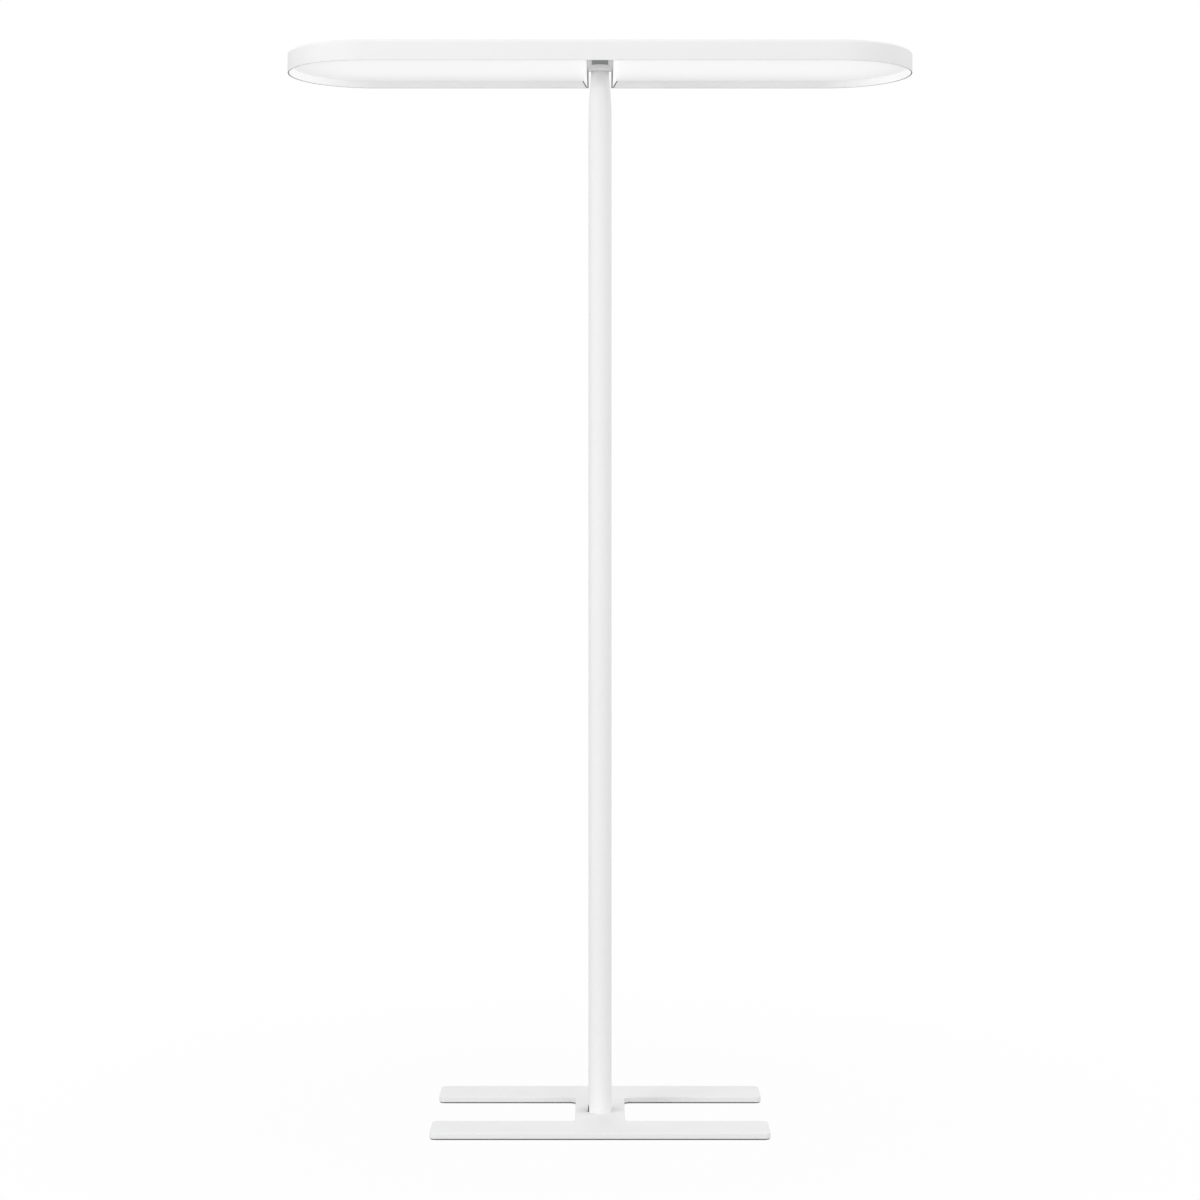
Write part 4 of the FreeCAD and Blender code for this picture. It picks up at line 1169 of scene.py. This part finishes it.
@dataclass
class ButtonCap:
    """The button's cap: a short plunger with a rounded rim and a shallow hollow for the fingertip."""

    rim: float = 0.9 * MM
    hollow: float = 0.35 * MM
    middle: float = 0.05
    dish_rings: int = 9

    def build(self, plastic: Material) -> None:
        """Makes the cap. The hollow's depth falls off as 1 - (r / R)^2 from its middle.

        Args:
            plastic: The grey plastic.
        """
        low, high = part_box("button_cap")
        radius = (high.x - low.x) / 2
        length = high.y - low.y
        insets, drops = quarter_round(self.rim)
        edge = [(length - drop, radius - inset) for inset, drop in zip(insets, drops)]
        flat = radius - self.rim
        shares = np.linspace(1.0, self.middle, self.dish_rings + 1)[1:]
        dish = [(length - self.hollow * (1 - share ** 2), flat * share) for share in shares]
        piece = round_piece("button_cap_soft", ((low.x + high.x) / 2, low.y, (low.z + high.z) / 2),
                            [(0.0, radius), *edge, *dish], "y")
        settle(piece, plastic, "button", "grey_button", "button_cap")


@dataclass
class LightUnits:
    """Diffusers, trays, LED strips and uplight covers of both halves."""

    head: HeadShell
    strip_rows: tuple[tuple[str, float], ...] = (("downlight", 110 * MM), ("uplight", 130 * MM))

    def dress(self) -> None:
        """Gives each node its finish."""
        inset = self.head.lip + self.head.run
        opal = OpalAcrylic("opal_acrylic", self.head.reach, self.head.radius - inset).build()
        finishes = {"diffuser": opal, "reflector_tray": reflector_paint(), "uplight_cover": clear_acrylic()}
        for kind, rows in self.strip_rows:
            finishes[kind + "_strips"] = LedStrip(kind + "_strip", rows).build()
        for side in Side:
            for kind, material in finishes.items():
                dress_node("%s_%s" % (kind, side.word), material)


@dataclass
class Fittings:
    """Screws, socket, button, leads and the control gear."""

    head: HeadShell

    def dress(self) -> None:
        """Gives each node its finish and makes the cover's screws and the button's cap."""
        zinc = worked_metal("zinc_plate", (0.62, 0.63, 0.64), (0.45, 0.46, 0.47))
        steel = worked_metal("turned_steel", (0.50, 0.50, 0.51), (0.33, 0.32, 0.30))
        blasted = Grain(0.8 * MM, 4.0)
        cast = worked_metal("cast_aluminium", (0.70, 0.70, 0.71), (0.55, 0.55, 0.55), 0.35, blasted)
        white = moulded_plastic("white_plastic", (0.80, 0.80, 0.79), 0.41)
        grey = moulded_plastic("grey_plastic", (0.42, 0.43, 0.44), 0.35)
        CoverScrews(self.head).build(zinc)
        ButtonCap().build(grey)
        finishes = {
            zinc: ("base_screws", "grub_screws", "socket_screws"),
            steel: ("foot_plug",),
            cast: ("column_socket",),
            white: ("button_housing", "button_switch", "driver_left", "driver_right", "terminal_block",
                    "sensor_module"),
            lead_jacket(): ("mains_lead", "button_lead", "driver_leads"),
            rubber(): ("cable_grommet",),
            PressedFelt("pad_felt").build(): ("base_pads",),
            CircuitBoard("control_board_mask").build(): ("control_board",),
            smoked_acrylic(): ("sensor_window",),
        }
        for material, names in finishes.items():
            for name in names:
                dress_node(name, material)


# ---------------- studio
@dataclass(frozen=True)
class Lamp:
    """A soft square lamp that faces the column. Its bearing runs from the front towards the right."""

    name: str
    bearing: float
    watts: float
    climb: float = 10.0
    distance: float = 4.1
    size: float = 2.4
    aim: tuple[float, float, float] = (0.0, 0.0, 1.0)

    def build(self) -> None:
        """Hangs the lamp at its distance, where neither the camera nor a gloss shows it."""
        turn, rise = math.radians(self.bearing), math.radians(self.climb)
        way = Vector((math.sin(turn) * math.cos(rise), -math.cos(turn) * math.cos(rise), math.sin(rise)))
        data = bpy.data.lights.new(self.name, "AREA")
        data.size = self.size
        data.energy = self.watts
        lamp = linked(self.name, data)
        lamp.location = Vector(self.aim) + way * self.distance
        lamp.rotation_euler = (-way).to_track_quat("-Z", "Y").to_euler()
        lamp.visible_camera = False
        lamp.visible_glossy = False


@dataclass
class Studio:
    """Pale floor, white world, soft lamps and the camera of the photograph."""

    floor_half: float = 30.0
    floor_colour: Colour = (0.55, 0.55, 0.55)
    contact: float = 12 * MM
    contact_band: tuple[float, float] = (0.15, 0.5)
    shadow_share: float = 0.03
    shadow_reach: tuple[float, float] = (0.5, 1.5)
    world_strength: float = 0.72
    world_colour: Colour = (0.990, 0.990, 1.0)
    eye: tuple[float, float, float] = (0.0, -4.529, 1.1053)
    focal_pixels: float = 2478.0
    frame_pixels: float = 1200.0
    sensor_width: float = 36.0
    horizon_row: float = 510.5
    lamps: tuple[Lamp, ...] = (
        Lamp("key", -45.0, 98.0, distance=5.5), Lamp("front", 25.0, 31.0),
        Lamp("side", 100.0, 30.0), Lamp("back", 185.0, 28.0))

    def build_floor(self) -> None:
        """Makes a flat floor that is white to the camera but darkens close to and under the object."""
        corners = np.array([(-1, -1), (1, -1), (1, 1), (-1, 1)]) * self.floor_half
        floor = Shell().flat([corners], 0.0).build("floor")
        recipe = Recipe(bpy.data.materials.new("floor_paper"))
        paper = recipe.node("BsdfDiffuse", {"Color": self.floor_colour})
        white = recipe.node("Emission", {"Color": WHITE, "Strength": 1.0})
        open_sky = recipe.node("AmbientOcclusion", {"Distance": self.contact}, "AO", samples=16)
        spread = recipe.node("VectorMath", {0: recipe.place()}, "Value", operation="LENGTH")
        bright = 1 - (1 - spread.band(*self.shadow_reach)) * self.shadow_share
        factor = self.seen(recipe) * open_sky.band(*self.contact_band) * bright
        recipe.show(recipe.node("MixShader", {0: factor, 1: paper, 2: white}))
        dress(floor, recipe.owner)

    def seen(self, recipe: Recipe) -> Shade:
        """1 for rays that show the background: from the camera, by reflection or through glass."""
        rays = [recipe.node("LightPath", output=name)
                for name in ("Is Camera Ray", "Is Glossy Ray", "Is Transmission Ray")]
        return (rays[0] + rays[1] + rays[2]).least(1.0)

    def build_world(self) -> None:
        """Makes a white world that lights at a plain level."""
        world = bpy.data.worlds.new("studio")
        bpy.context.scene.world = world
        recipe = Recipe(world)
        soft, white = [recipe.node("Background", {"Color": colour, "Strength": strength})
                       for colour, strength in ((self.world_colour, self.world_strength), (WHITE, 1.0))]
        mixed = recipe.node("MixShader", {0: self.seen(recipe), 1: soft, 2: white})
        recipe.show(mixed, "World")

    def build_camera(self) -> None:
        """Makes the level camera, with the shift that the photograph's framing needs."""
        data = bpy.data.cameras.new("camera")
        data.sensor_width = self.sensor_width
        data.lens = self.focal_pixels / self.frame_pixels * self.sensor_width
        data.shift_y = -(self.frame_pixels / 2 - self.horizon_row) / self.frame_pixels
        data.clip_end = 2.0 * self.floor_half
        camera = linked("camera", data)
        camera.location = self.eye
        camera.rotation_euler = (math.pi / 2, 0.0, 0.0)
        bpy.context.scene.camera = camera

    def build(self) -> None:
        """Makes the whole studio."""
        self.build_floor()
        self.build_world()
        for lamp in self.lamps:
            lamp.build()
        self.build_camera()
        bpy.context.scene.view_settings.view_transform = "Standard"


def main() -> None:
    """Builds and dresses the lamp, then sets the studio."""
    logging.basicConfig(level=logging.INFO, format="%(name)s: %(message)s")
    coat = PowderCoat("white_powder_coat", roughness=0.60, foot_radius=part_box("column_tube")[1].x).build()
    FloorPlate().build(coat)
    Column().build(coat)
    head = HeadShell()
    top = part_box("top_cover")[1].z - 2 * HeadCoat.skin
    head_coat = HeadCoat("white_head_coat", bottom=head.bottom, top=top, land=head.lip_edge, rise=head.rise,
                         spine=head.slot_half + head.lip / 2, mitre=head.slot_half + head.radius).build()
    head.build_frame(head_coat)
    head.build_cover(head_coat)
    LightUnits(head).dress()
    Fittings(head).dress()
    Studio().build()


if __name__ == "__main__":
    main()
